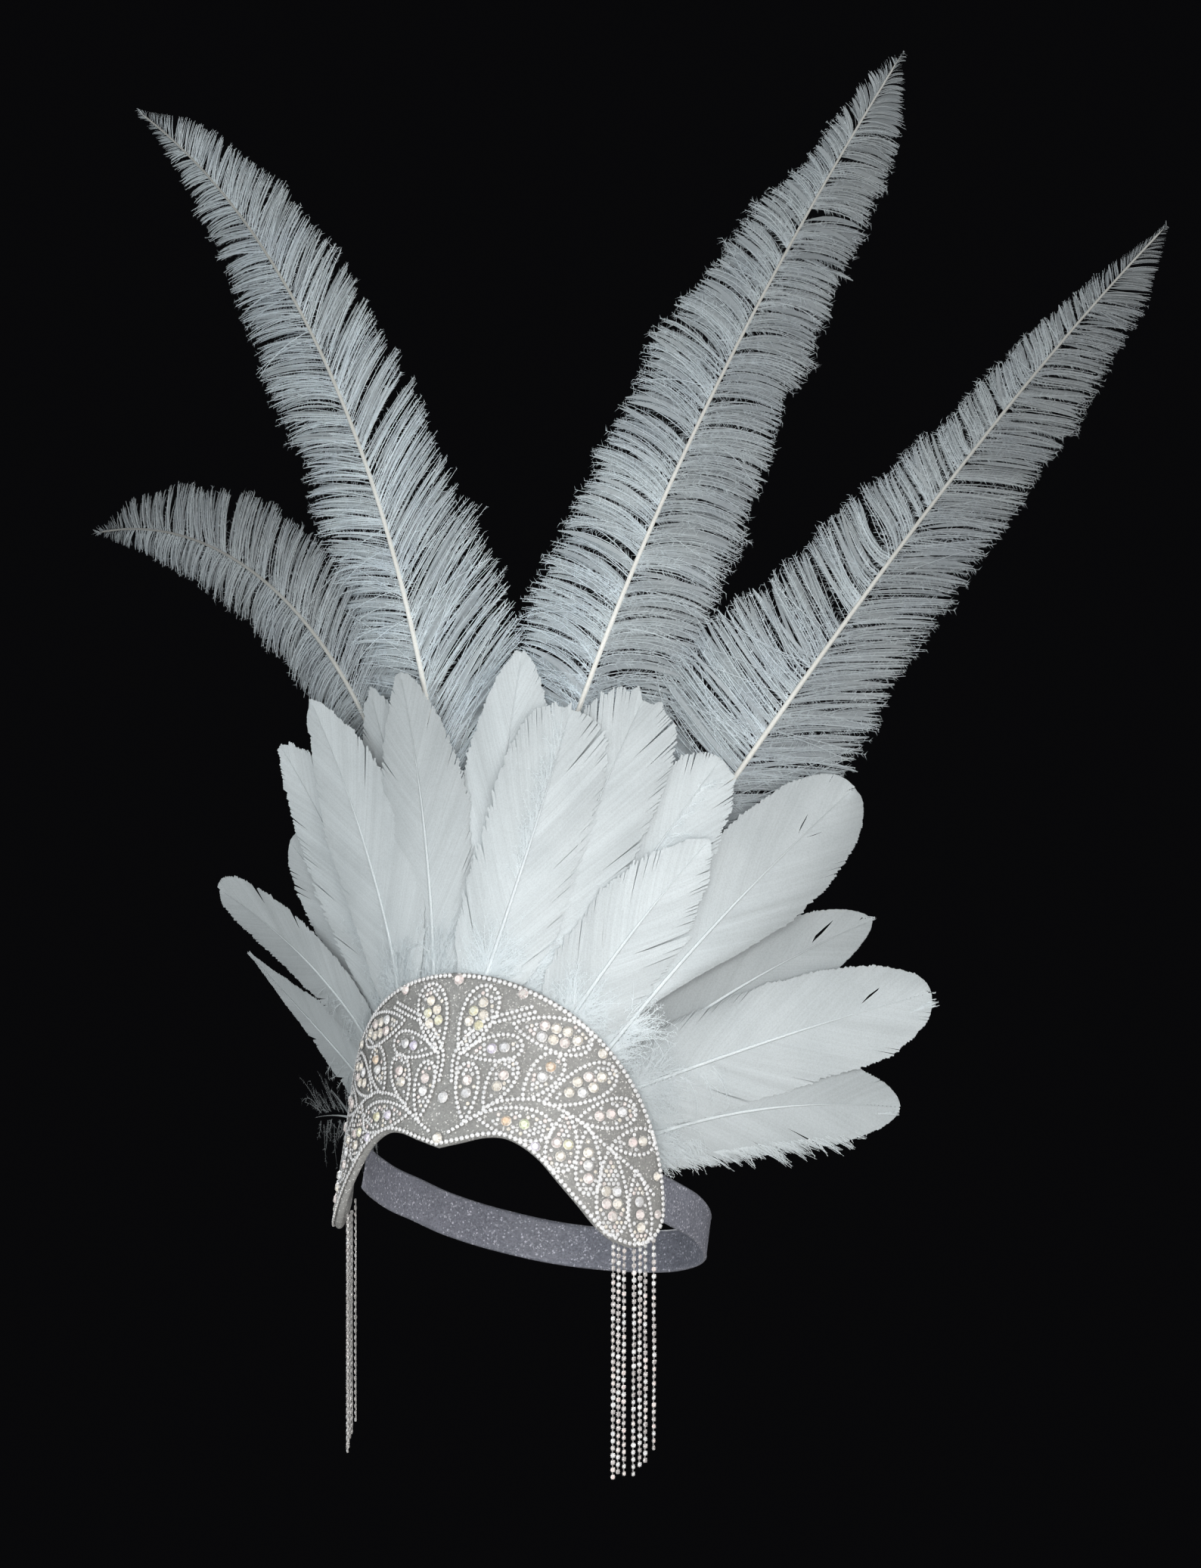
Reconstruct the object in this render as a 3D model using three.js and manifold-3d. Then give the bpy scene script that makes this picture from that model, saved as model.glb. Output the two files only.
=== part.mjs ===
// A white feather headdress: a stiff curved brow panel set with rhinestones, a fan of goose feathers and four
// ostrich plumes behind its top edge, a rhinestone fringe at each temple and an elastic strap round the back.
// Millimetres and degrees, +Z up. The wearer faces -Y and the wearer's left is +X.
// The origin is on the axis of the panel's curve, in the middle of the head.

import * as THREE from "three";
import { mergeVertices } from "three/addons/utils/BufferGeometryUtils.js";
import Module from "manifold-3d";

const wasm = await Module();
wasm.setup();

// Driving dimensions

const GAP = 0.4;
const LEAN_BACK = 15;
const WELD = 1e-4;

// The panel is drawn flat, as across (along the brow) and up, and bent round the head afterwards.
// A dome arc runs over the top and turns into a round lobe at each temple.
const PANEL = { radius: 78, wall: 3, columns: 38, endFlat: 0.15 };
const DOME = { radius: 100, drop: 30 };
const LOBE = { radius: 15, turn: 79 };
const BROW_EDGE = [
  { across: 0, up: 0 },
  { across: 10, up: 2.6 },
  { across: 20, up: 5.4 },
  { across: 27, up: 5.8 },
  { across: 35, up: 3.2 },
  { across: 42, up: -1 },
  { across: 50, up: -8 },
  { across: 60, up: -16.5 },
  { across: 68, up: -23.3 },
  { across: 75, up: -27.2 },
];

const CHAIN = { border: 1.2, fringe: 1.1, sides: 6, inset: 1.4, step: 7.6 };
const BORDER_POINTS = { dome: 10, lobe: 5 };
// Half widths of the ornament's chains, and how high each piece begins and ends over the panel.
const LEAF_CHAIN = { half: 0.95, foot: 0.2, floor: 0.7, top: 1.9, sidePoints: 5 };
const STEM_CHAIN = { half: 0.85, foot: 0.1, top: 1.7, step: 9 };
const STONE = { sides: 8, crown: 0.6, foot: 0.4, height: 1.9 };

// Leaves of one half of the ornament: base, tip and width, and the stones along each leaf's middle.
const LEAVES = [
  { base: [5, 37.5], tip: [14, 64.6], width: 16, stones: 2 },
  { base: [23.5, 51.7], tip: [55.5, 45.4], width: 12, stones: 2 },
  { base: [6.5, 38], tip: [30, 42.6], width: 11, stones: 1 },
  { base: [33, 21.5], tip: [45, 40.5], width: 13, stones: 1 },
  { base: [18, 17], tip: [27, 36.5], width: 11, stones: 1 },
  { base: [10.5, 11], tip: [9.2, 34], width: 10, stones: 1 },
  { base: [15.5, 14], tip: [45.5, 13], width: 10.5, stones: 1 },
  { base: [41.5, 21], tip: [67, 37.7], width: 15, stones: 2 },
  { base: [55, 16.5], tip: [77.5, 24.4], width: 13, stones: 1 },
  { base: [51, 18], tip: [51.8, -2.6], width: 12, stones: 1 },
  { base: [59.5, 14], tip: [63, -10.5], width: 12, stones: 1 },
  { base: [70, 8], tip: [85.5, 13], width: 11, stones: 1 },
  { base: [69.5, 7.5], tip: [74.6, -22], width: 13.5, stones: 2 },
  { base: [82, 1], tip: [87, -23.5], width: 10.5, stones: 1 },
];
const STEMS = [
  [[5, 25.5], [4.7, 36], [9.8, 44], [15.7, 49.6], [24, 52.8], [33, 56.2]],
  [[4.6, 6.4], [10.8, 10.4], [16.2, 14.5], [22.2, 19.2], [31.4, 21.6], [41.4, 21.6], [55, 16.4], [67, 8.6],
    [81.4, 0.6], [91, -6.6]],
];
// Single stones that touch the border: the crest, the brow peak and three on each half.
const EDGE_STONES = [
  { across: 0, up: 67, radius: 2.4, pair: false },
  { across: 0, up: 3.6, radius: 2.4, pair: false },
  { across: 27.5, up: 63, radius: 2, pair: true },
  { across: 61.5, up: 43.8, radius: 2, pair: true },
  { across: 40, up: 3.9, radius: 2, pair: true },
];
const LEAF_STONES = { radius: 1.9, last: 0.74, span: 0.4 };
const HEART_STONE = { across: 0, up: 19.9, radius: 2.4 };

// Strands of one fringe: where each hangs along the lobe. The first drops furthest, and each after it less.
const FRINGE_STRANDS = [77, 80.4, 83.8, 87.2, 90.6, 94, 97.4];
const FRINGE = { drop: 99, shorten: 1.1, header: 8, tape: 1.2 };

// The strap in plan, from the temple to the middle of the back, and the height of its middle line.
const STRAP = { width: 18, thickness: 1.5, steps: 38 };
const STRAP_ROUTE = [
  { side: 59.5, back: -34.6, up: -3.1 },
  { side: 64.6, back: -19.6, up: -4.2 },
  { side: 67, back: -0.4, up: -6.3 },
  { side: 66, back: 17.6, up: -7.7 },
  { side: 61.5, back: 36.9, up: -10.3 },
  { side: 50, back: 57.2, up: -12.6 },
  { side: 28, back: 72.3, up: -14.8 },
  { side: 0, back: 77.6, up: -15.4 },
];

// The feathers are drawn flat on a fan about the dome's centre: turn from upright and reach from the centre.
// The fan follows the inside of the panel to its rim, and from there it opens out and flattens.
const FAN = { radius: 74.6, rim: 95.5, pitch: 2.2, rootReach: 80 };
const FAN_OPENING = { start: 30, forward: 0.1, forwardStart: 90 };
const FAN_TURN_BACK = { top: 0.15, side: 0.4, from: 45, to: 75 };
const VANE = { edge: 0.6, ridge: 1.3, camber: 0.6, quill: 1.4 };
// Shares of a feather's length: where its vane begins to open, where it is full and where its tip closes.
const VANE_SHAPE = { open: -0.06, full: 0.34, close: 0.6, openPower: 0.75 };
const VANE_ROWS = [0, 0.12, 0.25, 0.42, 0.62, 0.82, 0.95, 1];

// Goose feathers. Turns are positive to the wearer's left, bow bends the shaft and blunt shapes the tip.
const GOOSE = [
  { root: -5, turn: 2, reach: 231, width: 39, bow: 0, layer: 2, blunt: 1.8 },
  { root: 3, turn: 9, reach: 210, width: 42, bow: 0, layer: 0, blunt: 3.4 },
  { root: 13, turn: 16, reach: 221, width: 44, bow: 2, layer: 1, blunt: 3.6 },
  { root: 23, turn: 26, reach: 214, width: 41, bow: 3, layer: 2, blunt: 2.2 },
  { root: 28, turn: 30, reach: 186, width: 38, bow: 3, layer: 0, blunt: 1.4 },
  { root: 41, turn: 38.5, reach: 238, width: 45, bow: 4.5, layer: 1, blunt: 2.4 },
  { root: 46, turn: 50, reach: 212, width: 34, bow: 6, layer: 3, blunt: 1.7 },
  { root: 47, turn: 59, reach: 221, width: 40, bow: 1, layer: 2, blunt: 2.2 },
  { root: 62, turn: 69.5, reach: 199, width: 34, bow: 7, layer: 3, blunt: 1.8 },
  { root: -11, turn: -12.5, reach: 230, width: 42, bow: -2, layer: 1, blunt: 1.5 },
  { root: -23, turn: -25, reach: 240, width: 45, bow: -3, layer: 0, blunt: 1.4 },
  { root: -38, turn: -32.5, reach: 239, width: 45, bow: -5, layer: 2, blunt: 1.4 },
  { root: -46, turn: -51, reach: 235, width: 27, bow: -3, layer: 1, blunt: 2.6 },
  { root: -61, turn: -57.5, reach: 225, width: 34, bow: 2.5, layer: 2.2, blunt: 1 },
  { root: -65, turn: -72, reach: 176, width: 22, bow: -6, layer: 1, blunt: 1.6 },
  { root: -16, turn: -18.5, reach: 231, width: 46, bow: -2, layer: 3, blunt: 1.5 },
  { root: -41, turn: -40, reach: 212, width: 44, bow: -5, layer: 3, blunt: 2 },
  { root: 42, turn: 43.5, reach: 184, width: 36, bow: 5, layer: 4, blunt: 2 },
  { root: 7, turn: 6, reach: 203, width: 40, bow: 0, layer: 4, blunt: 2 },
  { root: 65, turn: 64, reach: 186, width: 32, bow: 6, layer: 4, blunt: 2 },
];

// Ostrich plumes: the shaft starts at a root, sets off at a lean and curls more and more along its length.
const PLUMES = [
  { name: "right_low", root: [-34, 46], lean: -10, curl: -81, power: 1.3, length: 359, width: 84, layer: 6 },
  { name: "right", root: [-8, 50], lean: -13.5, curl: -42, power: 1.8, length: 482, width: 98, layer: 5 },
  { name: "left", root: [6, 50], lean: 2.5, curl: 25.5, power: 0.6, length: 421, width: 93, layer: 6 },
  { name: "left_low", root: [36, 45], lean: 29.5, curl: 10, power: 3, length: 393, width: 90, layer: 5 },
];
const PLUME = { locks: 11, bare: 0.16, rachis: 3, tipRachis: 0.9, edge: 0.6, trackSteps: 240 };
// Shares of a lock: how deep its notch and the first notch reach, and how far its corners are cut back.
const LOCK = { notch: 0.7, firstNotch: 0.3, corner: 0.16, least: 1.6 };
// How far the barbs reach along a plume, as shares of half its width.
const PLUME_SPREAD = [
  { along: 0.12, share: 0.1 },
  { along: 0.26, share: 0.95 },
  { along: 0.35, share: 0.95 },
  { along: 0.45, share: 0.82 },
  { along: 0.6, share: 0.71 },
  { along: 0.7, share: 0.6 },
  { along: 0.8, share: 0.46 },
  { along: 0.9, share: 0.25 },
  { along: 1, share: 0.05 },
];
// How far the barbs lean towards the tip, at the base and at the tip.
const BARB_LEAN = { base: 22, tip: 48 };

// Colours of the materials

const fabricSilver = new THREE.MeshStandardMaterial({ color: 0xa9a9ab, roughness: 0.45, metalness: 0.35 });
const crystal = new THREE.MeshStandardMaterial({ color: 0xe9e4e2, roughness: 0.12, metalness: 0.4 });
const elastic = new THREE.MeshStandardMaterial({ color: 0x8f919b, roughness: 0.8, metalness: 0.05 });
const gooseWhite = new THREE.MeshStandardMaterial({ color: 0xf1f4f5, roughness: 0.75, metalness: 0 });
const ostrichWhite = new THREE.MeshStandardMaterial({ color: 0xeceff1, roughness: 0.85, metalness: 0 });

// Solids from points and faces

const radians = THREE.MathUtils.degToRad;

function geometryOf(points, triangles) {
  const flat = points.flatMap((p) => [p.x, p.y, p.z]);
  const geometry = new THREE.BufferGeometry();
  geometry.setAttribute("position", new THREE.Float32BufferAttribute(flat, 3));
  geometry.setIndex(triangles);
  return geometry;
}

// A sheet of polygons becomes a closed solid: each point has a front and a back, and open edges get a rim.
function thicken(points, faces) {
  const count = points.length;
  const vertices = [...points.map((p) => p.front), ...points.map((p) => p.back)];
  const triangles = [];
  const edges = new Map();
  for (const face of faces) {
    for (let i = 1; i + 1 < face.length; i++) {
      triangles.push(face[0], face[i], face[i + 1]);
      triangles.push(face[0] + count, face[i + 1] + count, face[i] + count);
    }
    face.forEach((a, i) => {
      const b = face[(i + 1) % face.length];
      if (!edges.delete(b + ":" + a)) edges.set(a + ":" + b, [a, b]);
    });
  }
  for (const [a, b] of edges.values()) {
    triangles.push(b, a, a + count, b, a + count, b + count);
  }
  return geometryOf(vertices, triangles);
}

// The faces of a sheet whose points run in rows of equal length.
function gridFaces(rows, columns) {
  const faces = [];
  for (let r = 0; r + 1 < rows; r++) {
    for (let c = 0; c + 1 < columns; c++) {
      const corner = r * columns + c;
      faces.push([corner, corner + 1, corner + 1 + columns, corner + columns]);
    }
  }
  return faces;
}

function solidOf(geometry) {
  const bare = new THREE.BufferGeometry();
  bare.setAttribute("position", geometry.getAttribute("position"));
  bare.setIndex(geometry.getIndex());
  const merged = mergeVertices(bare, WELD);
  const mesh = new wasm.Mesh({
    numProp: 3,
    vertProperties: new Float32Array(merged.getAttribute("position").array),
    triVerts: new Uint32Array(merged.getIndex().array),
  });
  return new wasm.Manifold(mesh);
}

function fuse(geometries) {
  const mesh = geometries
    .map(solidOf)
    .reduce((whole, piece) => whole.add(piece))
    .getMesh();
  const geometry = new THREE.BufferGeometry();
  geometry.setAttribute("position", new THREE.BufferAttribute(mesh.vertProperties, 3));
  geometry.setIndex(new THREE.BufferAttribute(mesh.triVerts, 1));
  return geometry;
}

// The panel, flat and bent

const lobeReach = DOME.radius - LOBE.radius;
const lobeCentre = {
  across: lobeReach * Math.sin(radians(LOBE.turn)),
  up: lobeReach * Math.cos(radians(LOBE.turn)) - DOME.drop,
};
const browCurve = new THREE.CubicInterpolant(
  [...BROW_EDGE.map((p) => p.across), lobeCentre.across],
  [...BROW_EDGE.map((p) => p.up), lobeCentre.up - LOBE.radius],
  1,
);
const domeEnd = DOME.radius * Math.sin(radians(LOBE.turn));
const panelEnd = lobeCentre.across + LOBE.radius - PANEL.endFlat;

function topEdge(across) {
  const side = Math.abs(across);
  if (side <= domeEnd) return Math.sqrt(DOME.radius ** 2 - side ** 2) - DOME.drop;
  return lobeCentre.up + Math.sqrt(LOBE.radius ** 2 - (side - lobeCentre.across) ** 2);
}

function bottomEdge(across) {
  const side = Math.abs(across);
  if (side <= lobeCentre.across) return browCurve.evaluate(side)[0];
  return lobeCentre.up - Math.sqrt(LOBE.radius ** 2 - (side - lobeCentre.across) ** 2);
}

// A flat place on the panel, bent round the head. Lift is measured outwards from the panel's face.
function onPanel(across, up, lift = 0) {
  const round = across / PANEL.radius;
  const radius = PANEL.radius + lift;
  return new THREE.Vector3(radius * Math.sin(round), -radius * Math.cos(round), up);
}

function panelGeometry() {
  const points = [];
  for (let c = 0; c <= PANEL.columns; c++) {
    const across = panelEnd * Math.sin(Math.PI * (c / PANEL.columns - 0.5));
    for (const up of [bottomEdge(across), topEdge(across)]) {
      points.push({ front: onPanel(across, up), back: onPanel(across, up, -PANEL.wall) });
    }
  }
  const faces = gridFaces(PANEL.columns + 1, 2).map((face) => face.reverse());
  return thicken(points, faces);
}

// The rhinestone ornament

const flatCurve = (places) => new THREE.SplineCurve(places.map((place) => new THREE.Vector2(...place)));

// A flat place on the panel with a front and a back, between a chain's foot and its top.
const onPanelFace = (place, { foot, top }) => ({
  front: onPanel(place.x, place.y, GAP + top),
  back: onPanel(place.x, place.y, GAP + foot),
});

// A length of chain laid on the panel as a flat band.
function bandOnPanel(places, chain) {
  const line = flatCurve(places);
  const steps = Math.max(1, Math.round(line.getLength() / chain.step));
  const points = [];
  for (let i = 0; i <= steps; i++) {
    const middle = line.getPoint(i / steps);
    const along = line.getTangent(i / steps);
    const beside = new THREE.Vector2(-along.y, along.x);
    for (const side of [1, -1]) {
      points.push(onPanelFace(middle.clone().addScaledVector(beside, side * chain.half), chain));
    }
  }
  return thicken(points, gridFaces(steps + 1, 2));
}

// A cut stone with a table and eight crown facets, standing on the panel.
function stoneOnPanel({ across, up, radius }) {
  const profile = [
    new THREE.Vector2(0, 0),
    new THREE.Vector2(radius, 0),
    new THREE.Vector2(radius * STONE.crown, STONE.height),
    new THREE.Vector2(0, STONE.height),
  ];
  const geometry = new THREE.LatheGeometry(profile, STONE.sides);
  const outward = onPanel(across, 0, 1).sub(onPanel(across, 0));
  const turn = new THREE.Quaternion().setFromUnitVectors(new THREE.Vector3(0, 1, 0), outward.normalize());
  geometry.applyQuaternion(turn);
  const foot = onPanel(across, up, GAP + STONE.foot);
  return geometry.translate(foot.x, foot.y, foot.z);
}

// The border is one closed loop inside the panel's edge: over the dome, round each lobe and along the brow.
function borderGeometry() {
  const dome = DOME.radius - CHAIN.inset;
  const lobe = LOBE.radius - CHAIN.inset;
  const half = [];
  for (let i = 0; i < BORDER_POINTS.dome; i++) {
    const angle = radians((LOBE.turn * i) / BORDER_POINTS.dome);
    half.push([dome * Math.sin(angle), dome * Math.cos(angle) - DOME.drop]);
  }
  for (let i = 0; i <= BORDER_POINTS.lobe; i++) {
    const angle = radians(THREE.MathUtils.lerp(LOBE.turn, 180, i / BORDER_POINTS.lobe));
    half.push([lobeCentre.across + lobe * Math.sin(angle), lobeCentre.up + lobe * Math.cos(angle)]);
  }
  for (const { across, up } of [...BROW_EDGE].reverse()) half.push([across, up + CHAIN.inset]);
  const otherHalf = half.slice(1, -1).map(([across, up]) => [-across, up]);
  const lift = GAP + CHAIN.border;
  const loop = [...half, ...otherHalf.reverse()].map(([across, up]) => onPanel(across, up, lift));
  const line = new THREE.CatmullRomCurve3(loop, true);
  const steps = Math.round(line.getLength() / CHAIN.step);
  const stones = EDGE_STONES.flatMap(({ across, up, radius, pair }) =>
    (pair ? [1, -1] : [1]).map((side) => stoneOnPanel({ across: side * across, up, radius })),
  );
  const loopClosed = true;
  return fuse([new THREE.TubeGeometry(line, steps, CHAIN.border, CHAIN.sides, loopClosed), ...stones]);
}

// A leaf is pointed at its base and fullest past its middle. Its outline goes up one side and down the other.
const LEAF_SWELL = { power: 0.6, scale: 1.22 };

function leafOutline(base, tip, width) {
  const axis = tip.clone().sub(base);
  const beside = new THREE.Vector2(-axis.y, axis.x).normalize();
  const count = LEAF_CHAIN.sidePoints;
  const outline = [];
  for (let i = 0; i < 2 * count; i++) {
    const along = i <= count ? i / count : 2 - i / count;
    const forward = (1 - Math.cos(Math.PI * along)) / 2;
    const swell = Math.sin(Math.PI * along) * along ** LEAF_SWELL.power * LEAF_SWELL.scale;
    const bulge = i <= count ? width / 2 : -width / 2;
    outline.push(base.clone().addScaledVector(axis, forward).addScaledVector(beside, bulge * swell));
  }
  return outline;
}

// A leaf is a shallow tray: its chain stands up as a rim round a low floor.
function leafTray(base, tip, width) {
  const { half, foot, floor, top, sidePoints } = LEAF_CHAIN;
  const forward = tip.clone().sub(base).normalize();
  const rim = (grow, baseShift) =>
    leafOutline(
      base.clone().addScaledVector(forward, baseShift),
      tip.clone().addScaledVector(forward, grow),
      width + 2 * grow,
    );
  const outer = rim(half, -half);
  const inner = rim(-half, 3 * half);
  const layers = [
    { outline: outer, lift: top },
    { outline: inner, lift: top },
    { outline: inner, lift: floor },
    { outline: outer, lift: foot },
  ];
  const points = layers.flatMap(({ outline, lift }) => outline.map((p) => onPanel(p.x, p.y, GAP + lift)));
  const count = 2 * sidePoints;
  const triangles = [];
  for (const [from, to] of [[0, 1], [1, 2], [3, 0]]) {
    for (let i = 0; i < count; i++) {
      const next = (i + 1) % count;
      const corners = [from * count + i, to * count + i, to * count + next, from * count + next];
      triangles.push(corners[0], corners[1], corners[2], corners[0], corners[2], corners[3]);
    }
  }
  const cap = (layer, flip) => {
    const at = (i) => layer * count + (i % count);
    for (let i = 0; i < sidePoints; i++) {
      const sides = [at(i), at(count - i), at(count - i - 1), at(i + 1)];
      const halves = [[sides[0], sides[1], sides[2]], [sides[0], sides[2], sides[3]]];
      for (const half of halves) {
        const flat = new Set(half).size < 3;
        if (!flat) triangles.push(...(flip ? half.reverse() : half));
      }
    }
  };
  cap(2, false);
  cap(3, true);
  return geometryOf(points, triangles);
}

function sprayGeometry(side) {
  const turned = ([across, up]) => [side * across, up];
  const pieces = STEMS.map((places) => bandOnPanel(places.map(turned), STEM_CHAIN));
  for (const leaf of LEAVES) {
    const base = new THREE.Vector2(...turned(leaf.base));
    const tip = new THREE.Vector2(...turned(leaf.tip));
    pieces.push(leafTray(base, tip, leaf.width));
    for (let i = 0; i < leaf.stones; i++) {
      const spread = (i * LEAF_STONES.span) / Math.max(1, leaf.stones - 1);
      const place = base.clone().lerp(tip, LEAF_STONES.last - spread);
      pieces.push(stoneOnPanel({ across: place.x, up: place.y, radius: LEAF_STONES.radius }));
    }
  }
  return fuse(pieces);
}

// The fringes hang straight down, whatever the panel's lean

const lean = new THREE.Matrix4().makeRotationX(-radians(LEAN_BACK));

function fringeGeometry(side) {
  const inside = -PANEL.wall - GAP;
  const places = FRINGE_STRANDS.map((across) => ({ across, up: bottomEdge(across) + CHAIN.border }));
  const points = places.flatMap(({ across, up }) =>
    [0, FRINGE.header].map((height) => ({
      front: onPanel(side * across, up + height, inside).applyMatrix4(lean),
      back: onPanel(side * across, up + height, inside - FRINGE.tape).applyMatrix4(lean),
    })),
  );
  const faces = gridFaces(places.length, 2).map((face) => (side > 0 ? face.reverse() : face));
  const strands = places.map(({ across, up }, i) => {
    const drop = FRINGE.drop - i * FRINGE.shorten;
    const top = onPanel(side * across, up + FRINGE.header / 2, inside - CHAIN.fringe).applyMatrix4(lean);
    const strand = new THREE.CylinderGeometry(CHAIN.fringe, CHAIN.fringe, drop, CHAIN.sides);
    return strand.rotateX(Math.PI / 2).translate(top.x, top.y, top.z - drop / 2);
  });
  return fuse([thicken(points, faces), ...strands]);
}

// The strap: a band whose width stands square to its route

function strapGeometry() {
  const right = STRAP_ROUTE.map(({ side, back, up }) => new THREE.Vector3(side, back, up));
  const left = right.slice(0, -1).map((p) => new THREE.Vector3(-p.x, p.y, p.z));
  const route = new THREE.CatmullRomCurve3([...right, ...left.reverse()]);
  const points = [];
  for (let i = 0; i <= STRAP.steps; i++) {
    const middle = route.getPoint(i / STRAP.steps);
    const along = route.getTangent(i / STRAP.steps);
    const outward = new THREE.Vector3(along.y, -along.x, 0).normalize();
    const across = new THREE.Vector3().crossVectors(outward, along).normalize();
    for (const edge of [-0.5, 0.5]) {
      const place = middle.clone().addScaledVector(across, edge * STRAP.width);
      points.push({
        front: place.clone().addScaledVector(outward, STRAP.thickness / 2),
        back: place.clone().addScaledVector(outward, -STRAP.thickness / 2),
      });
    }
  }
  const faces = gridFaces(STRAP.steps + 1, 2).map((face) => face.reverse());
  return thicken(points, faces);
}

// The fan that carries the feathers

const softStart = (distance, start) => Math.hypot(distance, start) - start;

function fanSurface(across, up) {
  const reach = Math.hypot(across, up + DOME.drop);
  const turn = Math.atan2(across, up + DOME.drop);
  const held = Math.min(reach, FAN.rim);
  const round = (held * Math.sin(turn)) / FAN.radius;
  const outward = new THREE.Vector3(Math.sin(round), -Math.cos(round), 0);
  const point = outward.clone().multiplyScalar(FAN.radius);
  point.z = held * Math.cos(turn) - DOME.drop;
  const free = reach - held;
  if (free <= 0) return point;
  const { top, side, from, to } = FAN_TURN_BACK;
  const sideways = THREE.MathUtils.smoothstep(Math.abs(turn), radians(from), radians(to));
  const turnBack = round * THREE.MathUtils.lerp(top, side, sideways);
  const ray = (angle) =>
    new THREE.Vector3(Math.sin(turn) * Math.cos(angle), Math.sin(turn) * Math.sin(angle), Math.cos(turn));
  const opened = ray(turnBack).sub(ray(round));
  return point
    .addScaledVector(ray(round), free)
    .addScaledVector(opened, softStart(free, FAN_OPENING.start))
    .addScaledVector(outward, FAN_OPENING.forward * softStart(free, FAN_OPENING.forwardStart));
}

function fanNormal(across, up) {
  const near = 0.5;
  const sideStep = fanSurface(across + near, up).sub(fanSurface(across - near, up));
  const upStep = fanSurface(across, up + near).sub(fanSurface(across, up - near));
  return sideStep.cross(upStep).normalize();
}

// A place on the fan with a front and a back, this far behind the fan's face and this thick.
function fanPlace(place, behind, thickness) {
  const surface = fanSurface(place.x, place.y);
  const normal = fanNormal(place.x, place.y);
  return {
    front: surface.clone().addScaledVector(normal, thickness / 2 - behind),
    back: surface.clone().addScaledVector(normal, -thickness / 2 - behind),
  };
}

const fanPolar = (turn, reach) =>
  new THREE.Vector2(reach * Math.sin(radians(turn)), reach * Math.cos(radians(turn)) - DOME.drop);

// Goose feathers: a quill behind the panel that opens into a broad vane on both sides of the shaft

function vaneHalfWidth(along, width, blunt) {
  const { open, full, close, openPower } = VANE_SHAPE;
  const opened = THREE.MathUtils.smoothstep(along, open, full) ** openPower;
  const past = Math.max(0, (along - close) / (1 - close));
  const closing = Math.max(0, 1 - past ** blunt) ** (1 / blunt);
  return Math.max(VANE.quill / 2, (width / 2) * opened * closing);
}

function gooseGeometry({ root, turn, reach, width, bow, layer, blunt }) {
  const from = fanPolar(root, FAN.rootReach);
  const to = fanPolar(turn, reach);
  const beside = new THREE.Vector2(to.y - from.y, from.x - to.x).normalize();
  const bend = from.clone().lerp(to, 0.5).addScaledVector(beside, -2 * bow);
  const shaft = new THREE.QuadraticBezierCurve(from, bend, to);
  const behind = GAP + (layer + 0.5) * FAN.pitch;
  const points = VANE_ROWS.flatMap((along) => {
    const middle = shaft.getPoint(along);
    const heading = shaft.getTangent(along);
    const across = new THREE.Vector2(heading.y, -heading.x);
    const half = vaneHalfWidth(along, width, blunt);
    const edge = (side) => middle.clone().addScaledVector(across, side * half);
    const ridge = THREE.MathUtils.lerp(VANE.ridge, VANE.edge, along);
    return [
      fanPlace(edge(-1), behind + (VANE.camber * half * 2) / width, VANE.edge),
      fanPlace(middle, behind, ridge),
      fanPlace(edge(1), behind + (VANE.camber * half * 2) / width, VANE.edge),
    ];
  });
  return thicken(points, gridFaces(VANE_ROWS.length, 3));
}

// Ostrich plumes: a tapering rachis with locks of barbs on both sides that lean towards the tip

const plumeSpread = new THREE.LinearInterpolant(
  PLUME_SPREAD.map((row) => row.along),
  PLUME_SPREAD.map((row) => row.share),
  1,
);

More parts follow.
